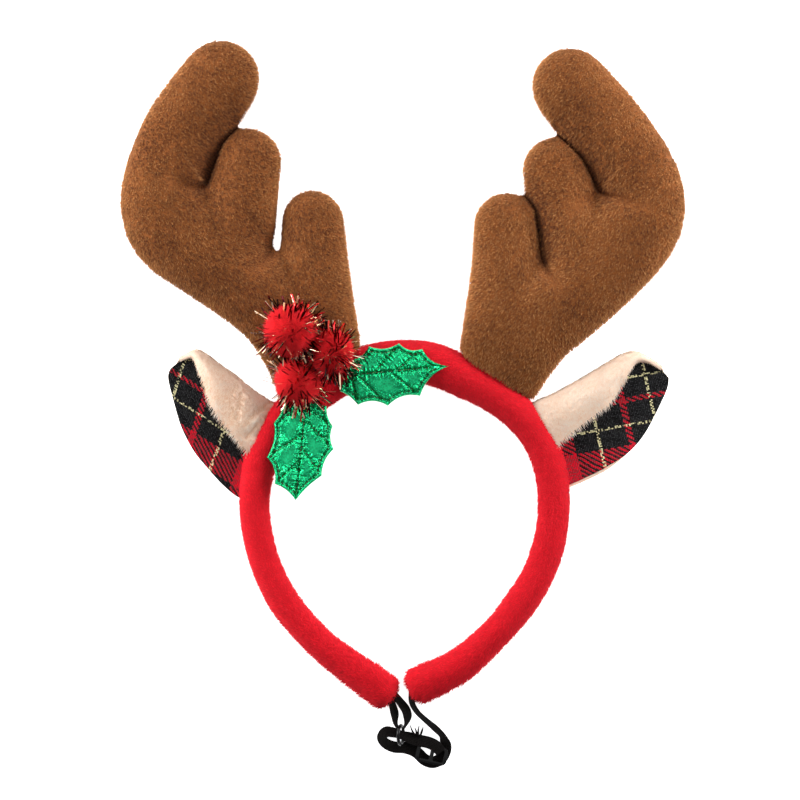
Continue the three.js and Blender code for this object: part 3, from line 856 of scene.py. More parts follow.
FRAY_RADIUS = {"root": 0.63, "tip": 0.18}
FRAY_SIDES = 6
FRAY_RINGS = 6
SLIDER_ROUNDING = 0.45
RING = {"x": 0.4, "y": -168.2, "z": 5.7, "lean": 16, "radius": 4.8, "wire": 0.85, "steps": 48, "sides": 14}


def ribbon(name, route, steps):
    """A flat woven ribbon along a route, and the line that it follows."""
    places = np.linspace(0, 1, steps)
    line = smooth_rows(route, places)
    middle = np.stack([line["x"], line["y"], line["z"]], 1)
    along = unit(np.gradient(middle, axis=0))
    flat = unit(np.stack([-along[:, 1], along[:, 0], np.zeros(steps)], 1))
    tilt = np.radians(line["tilt"])[:, None]
    across = flat * np.cos(tilt) + np.array([0, 0, 1]) * np.sin(tilt)
    across = unit(across - along * (across * along).sum(1, keepdims=True))
    face = np.cross(along, across)
    angles = turns(ELASTIC_SIDES)
    waves = (np.cos(angles), np.sin(angles))
    wide, thick = (np.sign(wave) * np.abs(wave) ** ELASTIC_SQUARENESS for wave in waves)
    offset = wide[None, :, None] * across[:, None] * (line["width"] / 2)[:, None, None]
    offset = offset + thick[None, :, None] * face[:, None] * (ELASTIC_THICKNESS / 2)
    piece = closed_tube(name, placed(middle[:, None] + offset), ELASTIC)
    run = travelled(middle)
    side = np.tile(wide * ELASTIC_WIDTH / 2, steps)
    coordinates = np.stack([side, np.repeat(run, ELASTIC_SIDES)], 1)
    set_map(piece, "weave", np.vstack([coordinates, coordinates[:1], coordinates[-1:]]))
    return piece, placed(middle), run[-1] * MM


def add_ring():
    """The small round ring that joins the loop to the strap."""
    lean = math.radians(90 - RING["lean"])
    sideways = np.array([math.cos(lean), 0, -math.sin(lean)])
    endways = np.array([0, 1, 0])
    axis = np.cross(sideways, endways)
    turn = turns(RING["steps"])
    around = turns(RING["sides"])
    spoke = np.cos(turn)[:, None] * sideways + np.sin(turn)[:, None] * endways
    reach = RING["radius"] + RING["wire"] * np.cos(around)
    points = spoke[:, None] * reach[None, :, None] + axis * (RING["wire"] * np.sin(around))[None, :, None]
    points = points.reshape(-1, 3) + (RING["x"], RING["y"], RING["z"])
    faces = grid_faces(RING["steps"], RING["sides"], True, True)
    return outward(mesh_piece("plastic_ring", placed(points), faces, PLASTIC))


def add_slider():
    """The moulded slider with rounded edges."""
    piece = node_copy("plastic_slider", "elastic_slider", PLASTIC)
    rounding = piece.modifiers.new("rounding", "BEVEL")
    rounding.width = SLIDER_ROUNDING * MM
    rounding.segments = 3
    rounding.limit_method = "ANGLE"
    return smoothed(plain(piece))


def add_fray():
    """Loose threads that stand out of the strap's edge near its end."""
    points = np.empty((0, 3))
    faces = []
    turn = turns(FRAY_SIDES)
    for thread in FRAYED_THREADS:
        root = np.array([thread["x"], thread["y"], FRAY_HEIGHT])
        way = np.array([thread["reachX"], thread["reachY"], 0])
        sideways = unit(np.array([-way[1], way[0], 0]))
        spokes = np.cos(turn)[:, None] * sideways + np.sin(turn)[:, None] * (0, 0, 1)
        rings = []
        for place in np.linspace(0, 1, FRAY_RINGS):
            middle = root + way * place + sideways * thread["bow"] * place * (1 - place)
            radius = FRAY_RADIUS["root"] + (FRAY_RADIUS["tip"] - FRAY_RADIUS["root"]) * place
            rings.append(middle + spokes * radius)
        new_points, new_faces = tube_shape(np.array(rings))
        faces += [tuple(corner + len(points) for corner in face) for face in new_faces]
        points = np.vstack([points, new_points])
    fray = outward(mesh_piece("strap_fray", placed(points), faces, ELASTIC))
    set_map(fray, "weave", points[:, :2])
    return fray


def add_elastic():
    """The loop and the strap as ribbons, with the ring, the slider and the frayed threads on them."""
    loop, loop_line, loop_length = ribbon("loop_ribbon", LOOP_ROUTE, ELASTIC_STEPS["loop"])
    strap, strap_line, strap_length = ribbon("strap_ribbon", STRAP_ROUTE, ELASTIC_STEPS["strap"])
    ring = finished(add_ring(), "black_plastic", "elastic_ring")
    slider = finished(add_slider(), "black_plastic", "elastic_slider")
    finished(loop, "black_elastic", "elastic_loop")
    finished(strap, "black_elastic", "elastic_strap")
    fray = finished(add_fray(), "black_elastic")


add_elastic()


# Headband

BAND = table(
    "x y width depth",
    (-7.6, -146.5, 18, 15),
    (-25.5, -133.5, 16.5, 15.5),
    (-41, -121, 15.5, 16),
    (-55.5, -105, 15.5, 16),
    (-65.5, -87.5, 15.5, 16),
    (-71.3, -68.5, 15, 16),
    (-72.8, -50, 15.5, 16),
    (-69.6, -30.1, 17.8, 16.5),
    (-59.5, -11, 18.6, 17),
    (-43, 2.5, 18.5, 17.5),
    (-24.5, 14.5, 20, 17.5),
    (-4, 19.5, 21, 17.5),
    (17, 17.8, 21.5, 17.5),
    (37, 9, 20.5, 17.5),
    (55.5, -3, 18.5, 17),
    (69.5, -19.5, 17, 16.5),
    (76.3, -40, 16.5, 16),
    (76.8, -61, 16.5, 16),
    (71.3, -83, 16.5, 16),
    (60.5, -102, 16.5, 16),
    (46, -119, 16, 16),
    (28.4, -134.2, 17.4, 15.5),
    (9.4, -143, 18.8, 15),
)
BAND_STATIONS = 420
BAND_SIDES = 48
BAND_END_ROUND = 5
BAND_END_STEPS = 8
BAND_END_BLUNTNESS = 0.7
GATHER = {"spacing": 6.5, "sway": 4, "height": 0.1}  # the small folds along the band's inner side
GATHER_SWAY_SIZE = 14
PUFF = {"size": 20, "height": 0.5}  # how the stuffing swells
BAND_NAP = {"along": 0.9, "down": -0.1}
FLEECE_REACH = 45  # how far from its ends the band is shaggier
FLEECE_CLUMP = 2.6
FLEECE = {"all": 0.3, "ends": 0.6, "longer": 0.6, "tint": 0.9}  # how clumpy the pile is, how long at the ends
# How much of the pile stays where a cover faces the floor, by the height of its normal
UNDER_COVER = {"band": (-0.9, -0.8, -0.5, -0.4), "antler": (-0.9, -0.8, -0.4, -0.3)}
UNDER_SHARES = (0, 0.25, 0.25, 1)


def add_band():
    """The padded tube with small gathers along its inner side, and its pile."""
    turn = np.linspace(0, math.pi / 2, BAND_END_STEPS)[1:-1]
    ends = BAND_END_ROUND * np.sin(turn)
    shrink = np.cos(turn) ** BAND_END_BLUNTNESS
    line = smooth_rows(BAND, np.linspace(0, 1, BAND_STATIONS))
    middle = np.stack([line["x"], line["y"], line["depth"] / 2 - SETTLE], 1)
    along = unit(np.gradient(middle, axis=0) * (1, 1, 0))
    size = np.stack([line["width"], line["depth"]], 1) / 2 - PILE_ROOM

    def extended(values):
        first, last = (np.repeat(end, len(ends), 0) for end in (values[:1], values[-1:]))
        return np.concatenate([first, values, last])

    move = np.concatenate([-ends[::-1], np.zeros(BAND_STATIONS), ends])
    scale = np.concatenate([shrink[::-1], np.ones(BAND_STATIONS), shrink])
    along = extended(along)
    middle = extended(middle) + along * move[:, None]
    size = extended(size) * scale[:, None]
    count = len(middle)
    outside = np.stack([-along[:, 1], along[:, 0], np.zeros(count)], 1)
    angles = turns(BAND_SIDES)
    flat = outside[:, None] * np.cos(angles)[None, :, None] * size[:, :1, None]
    up = np.array([0, 0, 1]) * np.sin(angles)[None, :, None] * size[:, 1:, None]
    rings = middle[:, None] + flat + up
    direction = unit(flat / size[:, :1, None] + up / size[:, 1:, None])
    run = travelled(middle)
    spots = rings.reshape(-1, 3)
    inner = np.clip(-np.cos(angles), 0, 1)[None, :] * scale[:, None]
    sway = rough(spots, GATHER_SWAY_SIZE, 3).reshape(count, BAND_SIDES) * GATHER["sway"]
    gather = np.sin(run[:, None] * (2 * np.pi / GATHER["spacing"]) + sway) * inner * GATHER["height"]
    puff = rough(spots, PUFF["size"], 1).reshape(count, BAND_SIDES) * PUFF["height"]
    rings = rings + direction * (gather + puff)[:, :, None]
    rings[:, :, 2] = np.maximum(rings[:, :, 2], PILE_ROOM)
    cover = closed_tube("band_cover", placed(rings), RED_SKIN)
    tips = 2
    nap = np.repeat(along, BAND_SIDES, 0) * BAND_NAP["along"] + (0, 0, BAND_NAP["down"])
    set_numbers(cover, "nap", np.vstack([nap, np.zeros((tips, 3))]))
    normals = vertex_normals(cover)
    set_numbers(cover, "cover", np.interp(normals[:, 2], UNDER_COVER["band"], UNDER_SHARES))
    from_end = np.minimum(run, run[-1] - run)
    ragged = np.append(np.repeat(bell(from_end, FLEECE_REACH), BAND_SIDES), np.ones(tips))
    fleece = rough(np.vstack([spots, middle[[0, -1]]]), FLEECE_CLUMP, 5)
    fleece *= FLEECE["all"] + FLEECE["ends"] * ragged
    points = vertex_points(cover) / MM
    shaggy = low_reach(points) * (1 + fleece) * (1 + FLEECE["longer"] * ragged)
    set_numbers(cover, "reach", np.minimum(shaggy, points[:, 2] / 2))
    set_numbers(cover, "lift", FLEECE["tint"] * fleece)
    pile = pile_on("band_pile", cover, "red", 11)
    finished(cover, "red_plush", "headband")
    finished(pile, "red_plush")


add_band()


# Antlers

ANTLER_VOXEL = 1.5
SOFTENING = 18  # rounds of smoothing after the remesh
ROUTE_STEPS = 60  # points on a crease's or a slit's route
CREASES = {
    "antler_left": table(
        "x y depth width",
        (-80, 138, 11, 1.1),
        (-88, 129, 13, 1.1),
        (-92, 120, 13, 1.2),
        (-95.5, 110, 13, 1.3),
        (-97.5, 106.5, 10, 1.8),
        (-104, 106.5, 6, 3),
        (-113, 107.5, 0, 4),
    ),
    "antler_left_lower": table(
        "x y depth width",
        (-62.3, 79, 8, 1.4),
        (-63.5, 74, 7, 2),
        (-66.5, 69.5, 4, 3),
        (-73, 63, 0, 4),
    ),
    "antler_right": table(
        "x y depth width",
        (77.5, 134.5, 9, 1.1),
        (90, 121.5, 10, 1.1),
        (95.5, 112, 10, 1.2),
        (99.7, 104, 9, 1.5),
        (109, 100.5, 5, 2.6),
        (121, 95, 0, 4),
    ),
    "antler_right_lower": table(
        "x y depth width",
        (62.5, 102.2, 9, 1.1),
        (67, 95, 11, 1.1),
        (69, 84, 12, 1.2),
        (70.8, 70, 10, 1.5),
        (75, 62, 4, 3),
        (80, 55, 0, 4),
    ),
    "antler_right_fork": table(
        "x y depth width",
        (99.5, 104.5, 4, 2),
        (93, 100, 3, 3),
        (85, 96.5, 0, 4),
    ),
}
# The open slit beside the left antler's lower tine, and how far its walls are drawn apart for the remesh
SLIT = table(
    "x y part",
    (-62.2, 76, 0.5),
    (-61.6, 84, 1),
    (-60.8, 92, 1),
    (-60, 100, 0.9),
    (-58, 108, 0.4),
)
SLIT_REACH = 5
SLIT_CLOSING = -0.6  # the share that the walls come together again after the remesh
CREASE_SLOPE = 10  # how far from a crease the stuffing starts to slope towards it
CREASE_SHARES = {"near": 0.4, "broad": 0.6}  # of a crease's depth
CREASE_FACING = 0.3  # added to a normal's height, so that a crease reaches a little past the front
UNDER_SIDE = {"middle": 0.6, "swing": 0.4}  # a crease's outer side slopes more than its inner side
NAPS = {"antler_left": (0.45, -0.8, 0), "antler_right": (-0.45, -0.8, 0)}
NAP_DRIFT = {"size": 30, "share": 0.5}
ANTLER_PAINTED_SHADE = {"antler_left": -0.27, "antler_right": -0.06}  # painted shade: the left antler's pile is painted darker all over
RIM_PAINTED_SHEEN = {"share": 0.9, "power": 1.3}  # painted sheen: how much lighter the nap is painted where it turns away from the front
CREASE_PAINTED_SHADE = 1.4  # painted shade: how much darker the pile is painted in a crease
CREASE_TRIM = 0.6  # how much shorter it is there


def nearest_row(points, rows):
    """The flat way from a smooth route's nearest point to each point, and the route's columns there."""
    line = smooth_rows(rows, np.linspace(0, 1, ROUTE_STEPS))
    spots = np.stack([line["x"], line["y"]], 1)
    ways = points[:, None, :2] - spots[None]
    nearest = np.linalg.norm(ways, axis=2).argmin(1)
    return ways[np.arange(len(points)), nearest], {name: values[nearest] for name, values in line.items()}


def pressed(points, normals, crease):
    """Layout points pressed down along a crease on the front, how near they are to it, and the shade painted
    beside it.
    """
    way, line = nearest_row(points, crease)
    distance = np.linalg.norm(way, axis=1)
    outer = way[:, 0] * np.sign(points[:, 0]) / np.maximum(distance, 1)
    near = bell(distance, line["width"])
    broad = bell(distance, CREASE_SLOPE) * (UNDER_SIDE["middle"] + UNDER_SIDE["swing"] * outer)
    shape = CREASE_SHARES["near"] * near + CREASE_SHARES["broad"] * broad
    sink = line["depth"] * shape * np.clip(normals[:, 2] + CREASE_FACING, 0, 1)
    dark = (near + broad) / 2 * np.minimum(line["depth"] / CREASE_SLOPE, 1)
    return points - sink[:, None] * (0, 0, 1), near, dark


def parted(points, slit, share):
    """Layout points drawn apart to both sides of a slit, by a share, and how near they are to it."""
    way, line = nearest_row(points, slit)
    near = bell(np.linalg.norm(way, axis=1), SLIT_REACH)
    side = np.sign(points[:, 0] - line["x"]) * line["part"] * near * share
    return points + side[:, None] * (1, 0, 0), near


def add_antler(node):
    """A stuffed plush antler with deep creases between its tines, and its pile."""
    cover = node_copy(f"{node}_cover", node, BROWN_SKIN)
    if node == "antler_left":
        points = parted(layout_points(cover), SLIT, 1)[0]
        move_vertices(cover, placed(points))
    remesh = cover.modifiers.new("remesh", "REMESH")
    remesh.mode = "VOXEL"
    remesh.voxel_size = ANTLER_VOXEL * MM
    soften = cover.modifiers.new("soften", "SMOOTH")
    soften.factor = 0.5
    soften.iterations = SOFTENING
    refine = cover.modifiers.new("refine", "SUBSURF")
    refine.levels = refine.render_levels = 1
    cover = plain(cover)
    points = layout_points(cover)
    tight = np.zeros(len(points))
    dark = np.zeros(len(points))
    if node == "antler_left":
        points, tight = parted(points, SLIT, SLIT_CLOSING)
        move_vertices(cover, placed(points))
    for name, crease in CREASES.items():
        if name.startswith(node):
            points, near, shade = pressed(points, vertex_normals(cover), crease)
            tight = np.maximum(tight, near)
            dark = np.maximum(dark, shade)
            move_vertices(cover, placed(points))
    points[:, 2] = np.maximum(points[:, 2], PILE_ROOM)
    move_vertices(cover, placed(points))
    normals = vertex_normals(smoothed(cover))
    drift = np.stack([rough(points, NAP_DRIFT["size"], seed) for seed in (1, 2, 3)], 1)
    set_numbers(cover, "nap", np.array(NAPS[node]) + drift * NAP_DRIFT["share"])
    set_numbers(cover, "cover", np.interp(normals[:, 2], UNDER_COVER["antler"], UNDER_SHARES))
    set_numbers(cover, "reach", low_reach(points) * (1 - CREASE_TRIM * tight))
    # The pile's tint gets painted shade and sheen: an even darkening, most on the left antler, a lighter
    # sheen where the surface turns away from the front, and darker shade in and beside the creases.
    rim = (1 - np.abs(normals[:, 2])) ** RIM_PAINTED_SHEEN["power"]
    set_numbers(cover, "lift", ANTLER_PAINTED_SHADE[node] + RIM_PAINTED_SHEEN["share"] * rim - CREASE_PAINTED_SHADE * dark)
    pile = pile_on(f"{node}_pile", cover, "brown", 21)
    finished(cover, "brown_plush", node)
    finished(pile, "brown_plush")


for antler in ("antler_left", "antler_right"):
    add_antler(antler)


# Ears

EARS = {
    "ear_left": table(
        "lowX lowY foldX foldY flapX flapY rise",
        (-75.5, -49.5, -58.3, -6.3, -72, -31, 5.5),
        (-81.5, -48.8, -63.1, -3.3, -77.5, -27, 8),
        (-89.3, -42.5, -73.2, 2.6, -84, -18.5, 11),
        (-97.2, -33.8, -83.2, 10.8, -91.5, -9, 11.5),
        (-104, -25.2, -92.1, 17, -95.5, 0, 11),
        (-110, -13.4, -97.8, 21.2, -98.5, 10.5, 9.5),
        (-114, 0, -102.5, 23.4, -103.3, 18.8, 7.5),
        (-116.6, 11, -107, 22, -107.8, 19, 5.5),
        (-115.6, 15.6, -110.6, 20, -111.4, 18, 4.5),
    ),
    "ear_right": table(
        "lowX lowY foldX foldY flapX flapY rise",
        (80, -46.5, 61.6, -7.3, 73, -28, 5.5),
        (85.5, -44, 68.6, -2.3, 80, -22.5, 8),
        (92.5, -41, 79.6, 2.7, 88.5, -15.5, 11),
        (103.5, -35.5, 92.1, 9.6, 98, -8, 11.5),
        (114.5, -27.5, 104.6, 17.1, 105, -2, 11),
        (123, -17, 112.5, 21.4, 110.5, 7.5, 9.5),
        (129.5, -5, 118.9, 22.3, 117.4, 16.4, 7.5),
        (134.3, 5.6, 126, 19.4, 125.6, 16, 5.5),
        (135.2, 11.2, 131.2, 15.8, 131.2, 13.4, 4.5),
    ),
}
# How many points go round the fold and along the ear in each layer
EAR_MESH = {"plush": (180, 140), "plaid": (96, 72)}
# The share of the flap's width that the plush keeps, from base to tip: its pile makes up the rest
FLAP_SHARE = table("place share", (0, 0.94), (0.5, 0.92), (0.64, 0.85), (0.75, 0.45), (0.86, 0.1), (1, 0))
# Where the lowest edge starts in an ear's plush and in its tartan, as a share of the way round the fold
EAR_RIMS = {
    "ear_left": table("place plush plaid", (0, 0.022, 0), (1, 0.022, 0)),
    "ear_right": table("place plush plaid", (0, 0, 0.022), (0.4, 0, 0.022), (0.6, 0.022, 0), (1, 0.022, 0)),
}
# Fine wrinkles near the base of each ear's plush, dents all over it, and how much lighter its pile is
# painted, as light over the right ear's shaded flap
WRINKLES = {
    "ear_left": {"height": 0.7, "depth": 1.1, "lift": 0},
    "ear_right": {"height": 0.12, "depth": 0.4, "lift": 0.25},
}
# How many wrinkles go round the fold and along the ear, and how far along it they reach
WRINKLE_SPREAD = {"round": 30, "along": 5, "reach": 0.4}
DENT_SIZE = 10
CREASE_START = 0.5  # place round the fold from which the creases show
CRUMPLE_START = ((0.35, 0.55), (0, 1))  # places round the fold where the crumples start
CRUMPLE_PAINTED_LIGHT = {"crumple": 0.8, "crease": 1.6}  # painted light and shade: how much lighter a crumple is painted where it rises and darker where it sinks, and how much darker a crease is painted
# Shares of the plush's thickness and of its pile's reach, at places from base to tip or round the fold
PLUSH_THINNING = ((0, 0.7, 0.85, 1), (1, 1, 0.7, 0.55))
PILE_TO_TIP = ((0, 0.6, 0.8, 1), (1, 0.9, 0.4, 0.25))
PILE_ROUND_FOLD = ((0, 0.25, 0.93, 1), (0.3, 0.42, 0.55, 1.5))
EAR_NAP = 1.5
# Creases pressed into the cream plush, from one flat point to another: their depth and half width
EAR_CREASES = {
    "ear_left": table(
        "x y toX toY depth width",
        (-65.6, -1.4, -77, -10.2, 0.6, 0.6),
        (-68.5, -4.2, -78, -12.4, 0.55, 0.6),
        (-70.4, -3, -75, -8, 0.4, 0.5),
        (-71.1, -11.1, -77, -19, 0.5, 0.6),
        (-74.6, -8.2, -81.6, -12.6, 0.35, 0.5),
        (-79.7, 2.4, -80.9, -8.6, 0.6, 1.3),
        (-75.4, 0.4, -76, -1.6, 0.3, 0.4),
        (-83, -4, -85, -8.4, 0.3, 0.5),
    ),
    "ear_right": (),
}
# How each ear's tartan lies: the layout point where gold lines cross, the directions of its weft and warp
# in degrees, and how far its repeat is stretched along each
WEAVES = {
    "ear_left": {"x": -114.4, "y": 1.4, "weft": -32.7, "warp": 71, "wide": 1.067, "tall": 0.75},
    "ear_right": {"x": 98.9, "y": -15.4, "weft": 10, "warp": 103, "wide": 1.04, "tall": 0.83},
}


def straight_rows(rows, name, places):
    """One column of a table at places from 0 to 1, on straight lines between its rows."""
    return np.interp(places, [row["place"] for row in rows], [row[name] for row in rows])


def ear_surface(name, layer):
    """Points on the surface of an ear's layer: stations from base to tip, steps round the fold."""
    steps, stations = EAR_MESH[layer]
    places = np.linspace(0, 1, stations)
    line = smooth_rows(EARS[name], places)
    share = straight_rows(FLAP_SHARE, "share", places)[:, None]
    rims = straight_rows(EAR_RIMS[name], layer, places)
    floor = np.full(stations, EAR_FLOOR)
    low = np.stack([line["lowX"], line["lowY"], floor], 1)
    fold = np.stack([line["foldX"], line["foldY"], floor + line["rise"] * EAR_FOLD_HEIGHT], 1)
    flap = np.stack([line["flapX"], line["flapY"], floor + line["rise"] * EAR_FLAP_DROOP], 1)
    flap = fold + (flap - fold) * share
    wall = low + (fold - low) * EAR_WALL_PLACE
    wall[:, 2] = floor
    crest = fold + (flap - fold) * EAR_CREST_PLACE
    crest[:, 2] = floor + line["rise"]
    surface = np.empty((steps, stations, 3))
    for station, corners in enumerate(np.stack([low, wall, fold, crest, flap], 1)):
        ring = [dict(zip("xyz", corner)) for corner in corners]
        section = smooth_rows(ring, np.linspace(rims[station], 1, steps))
        surface[:, station] = np.stack([section[axis] for axis in "xyz"], 1)
    return surface


def sheet_piece(name, surface, near, far, finish):
    """A closed sheet between two offsets from a surface."""
    steps, stations = surface.shape[:2]
    normal = unit(np.cross(np.gradient(surface, axis=1), np.gradient(surface, axis=0)))
    walls = [(surface + normal * offset).reshape(-1, 3) for offset in (near, far)]
    count = steps * stations
    faces = grid_faces(steps, stations)
    other = [tuple(count + corner for corner in face[::-1]) for face in faces]
    rim = [step * stations for step in range(steps)]
    rim += [(steps - 1) * stations + station for station in range(1, stations)]
    rim += [step * stations + stations - 1 for step in range(steps - 2, -1, -1)]
    rim += [station for station in range(stations - 2, 0, -1)]
    edge = [(a, b, b + count, a + count) for a, b in zip(rim, rim[1:] + rim[:1])]
    return outward(mesh_piece(name, placed(np.vstack(walls)), faces + other + edge, finish))


def ear_creased(name, points):
    """How deep the creases of an ear's plush are at points."""
    depth = np.zeros(len(points))
    for crease in EAR_CREASES[name]:
        start, end = (np.array([crease[x], crease[y]]) for x, y in (("x", "y"), ("toX", "toY")))
        apart = seam_place(points[:, :2], start, end)[0]
        depth = np.maximum(depth, crease["depth"] * bell(apart, crease["width"]))
    return depth


def add_ear(name):
    """An ear's plush layer with its pile, and the tartan layer inside its fold."""
    side = 1 if name == "ear_left" else -1
    near = LAYER_GAP / 2
    surface = ear_surface(name, "plush")
    steps, stations = EAR_MESH["plush"]
    count = steps * stations
    round_fold = np.repeat(np.linspace(0, 1, steps), stations)
    to_tip = np.tile(np.linspace(0, 1, stations), steps)
    thickness = PLUSH_THICKNESS * np.interp(to_tip, *PLUSH_THINNING)
    folds = WRINKLES[name]
    spread = WRINKLE_SPREAD
    spots = np.stack([round_fold * spread["round"], to_tip * spread["along"], np.zeros(count)], 1)
    gathered = rough(spots, 1, 6) * bell(to_tip, spread["reach"]) * folds["height"]
    crease = ear_creased(name, surface.reshape(-1, 3)) * (round_fold > CREASE_START)
    crumple = rough(surface.reshape(-1, 3), DENT_SIZE, 7) * folds["depth"] + gathered - crease
    crumple *= np.interp(round_fold, *CRUMPLE_START)
    outer = (near + thickness + crumple * (1 - to_tip)).reshape(steps, stations, 1)
    plush = sheet_piece(f"{name}_plush_cover", surface, side * near, side * outer, CREAM_SKIN)
    hang = unit(np.gradient(surface, axis=0)).reshape(-1, 3)
    set_numbers(plush, "nap", np.vstack([hang, hang]) * EAR_NAP)
    set_numbers(plush, "cover", np.concatenate([np.zeros(count), np.ones(count)]))
    reach = np.interp(round_fold, *PILE_ROUND_FOLD) * np.interp(to_tip, *PILE_TO_TIP)
    set_numbers(plush, "reach", np.concatenate([reach, reach]) * low_reach(layout_points(plush)))
    # The outer pile gets painted light on raised crumples and painted shade in sunk ones and in creases; the
    # right ear's pile is painted lighter all over.
    lift = folds["lift"] + crumple * CRUMPLE_PAINTED_LIGHT["crumple"] - crease * CRUMPLE_PAINTED_LIGHT["crease"]
    set_numbers(plush, "lift", np.concatenate([np.zeros(count), lift]))
    pile = pile_on(f"{name}_pile", plush, "cream", 31)
    lining = ear_surface(name, "plaid")
    far = near + PLAID_THICKNESS
    plaid = sheet_piece(f"{name}_plaid_cover", lining, -side * near, -side * far, TARTAN)
    weave = WEAVES[name]
    spots = np.vstack([lining.reshape(-1, 3)[:, :2]] * 2) - (weave["x"], weave["y"])
    bearings = np.radians([weave["weft"], weave["warp"]])
    runs = np.array([np.cos(bearings), np.sin(bearings)]) * (weave["wide"], weave["tall"])
    set_map(plaid, "weave", spots @ np.linalg.inv(runs).T + GOLD_PLACES[0])
    finished(plush, "cream_plush", f"{name}_plush")
    finished(pile, "cream_plush")
    finished(plaid, "tartan", f"{name}_plaid")


for ear in EARS:
    add_ear(ear)


# Holly

LEAVES = {
    "holly_leaf_upper": table(
        "x y dip height",
        (-30, 4.5, 0.8, 16.3),
        (-21, -2.5, 2.2, 16.1),
        (-6, -3, 2.4, 15.9),
        (10, 2, 2.6, 16.3),
        (24.5, 17, 2.4, 17.4),
        (11, 25.5, 2, 16.6),
        (-0.5, 28.3, 2, 16.4),
        (-15.5, 26.8, 1.4, 16.4),
        (-24, 20, 0, 16.6),
    ),
    "holly_leaf_lower": table(
        "x y dip height",
        (-57, 2, 1.2, 16.2),
        (-63, -11.5, 1.8, 16),
        (-66.5, -28.5, 1.8, 15.8),
        (-62.5, -41.8, 1.2, 16.4),
        (-52, -50, 0.8, 17.2),
        (-39, -37.8, 1.6, 16.6),
        (-33, -24.5, 1.4, 16),
        (-33.5, -13, 1, 16),
        (-36.5, -3, 0, 16.2),
    ),
}
LEAF_TIP = 4  # the row of a leaf's tip
LEAF_ARC_STEPS = 44
LEAF_RINGS = 40
RING_CROWDING = 1.15  # power that crowds the rings towards the midrib
RIB_ENDS = (0.04, 0.93)  # shares of the way from base to tip
RIB_SEAM_END = 0.96
VEIN = {"lean": 0.27, "first": 0.05, "length": 0.8, "higher": 0.15}  # side veins, as shares of the leaf
RIM_SEAM = 1.9  # from the edge in to the stitched rim
CROWN = {"reach": 6, "power": 0.6}  # how the padding rises from the edge
BEAD = {"height": 0.35, "place": 0.7, "width": 0.6}  # the rolled edge
# A groove's depth and width, how far its puckers reach, and the width of the shade painted along it
RIM_GROOVE = {"depth": 0.75, "width": 0.55, "pucker": 1.8, "line": 0.45}
VEIN_GROOVE = {"depth": 1.1, "width": 0.8, "pucker": 3, "line": 0.5}
RIDGE_WIDTH = 0.95  # of a wrinkle
RIDGE_STRETCH = 0.15  # how slowly a wrinkle changes away from its seam
RIDGE_REACH = 2.5  # how far wrinkles run out from a seam
RIDGE_HEIGHT = 1
RIDGE_EDGE = 1.5  # how far from the edge the wrinkles are at their full height
SWELL = {"size": 3.5, "height": 0.15}  # uneven padding
STITCH = {"spacing": 2.2, "length": 1.5, "width": 0.22}
VEIN_STEPS = 12  # points on a stitched vein


def leaf_outline(corners):
    """Points round a leaf's edge, hollow between its spikes."""
    places = np.arange(LEAF_ARC_STEPS) / LEAF_ARC_STEPS
    edge = []
    for corner, after in zip(corners, corners[1:] + corners[:1]):
        start, end = (np.array([row["x"], row["y"], row["height"]]) for row in (corner, after))
        inward = unit(np.array([start[1] - end[1], end[0] - start[0], 0]))
        sag = 4 * corner["dip"] * places * (1 - places)
        edge.append(start + (end - start) * places[:, None] + inward * sag[:, None])
    return np.vstack(edge)


def wrinkles(distance, along, seed):
    """Heights of irregular wrinkles that run out from a seam and fade."""
    spots = np.column_stack([along, distance * RIDGE_STRETCH, np.zeros(len(along))])
    return rough(spots, RIDGE_WIDTH, seed) * bell(distance, RIDGE_REACH)


def stitched(name, routes, front):
    """Stitches along flat routes, on the nearest points of a leaf's front."""
    points = []
    edges = []
    for route in routes:
        nearest = np.linalg.norm(route[:, None] - front[None, :, :2], axis=2).argmin(1)
        edges += [(len(points) + step, len(points) + step + 1) for step in range(len(route) - 1)]
        points += [(*spot, height) for spot, height in zip(route, front[nearest, 2])]
    mesh = bpy.data.meshes.new(name)
    mesh.from_pydata([tuple(point) for point in placed(points)], edges, [])
    values = {label.capitalize(): size * MM for label, size in STITCH.items()} | {"Finish": THREAD.material}
    base = add_object(f"{name}_line", mesh)
    piece = grown(name, base, STITCHES, values)
    bpy.data.objects.remove(base)
    return piece


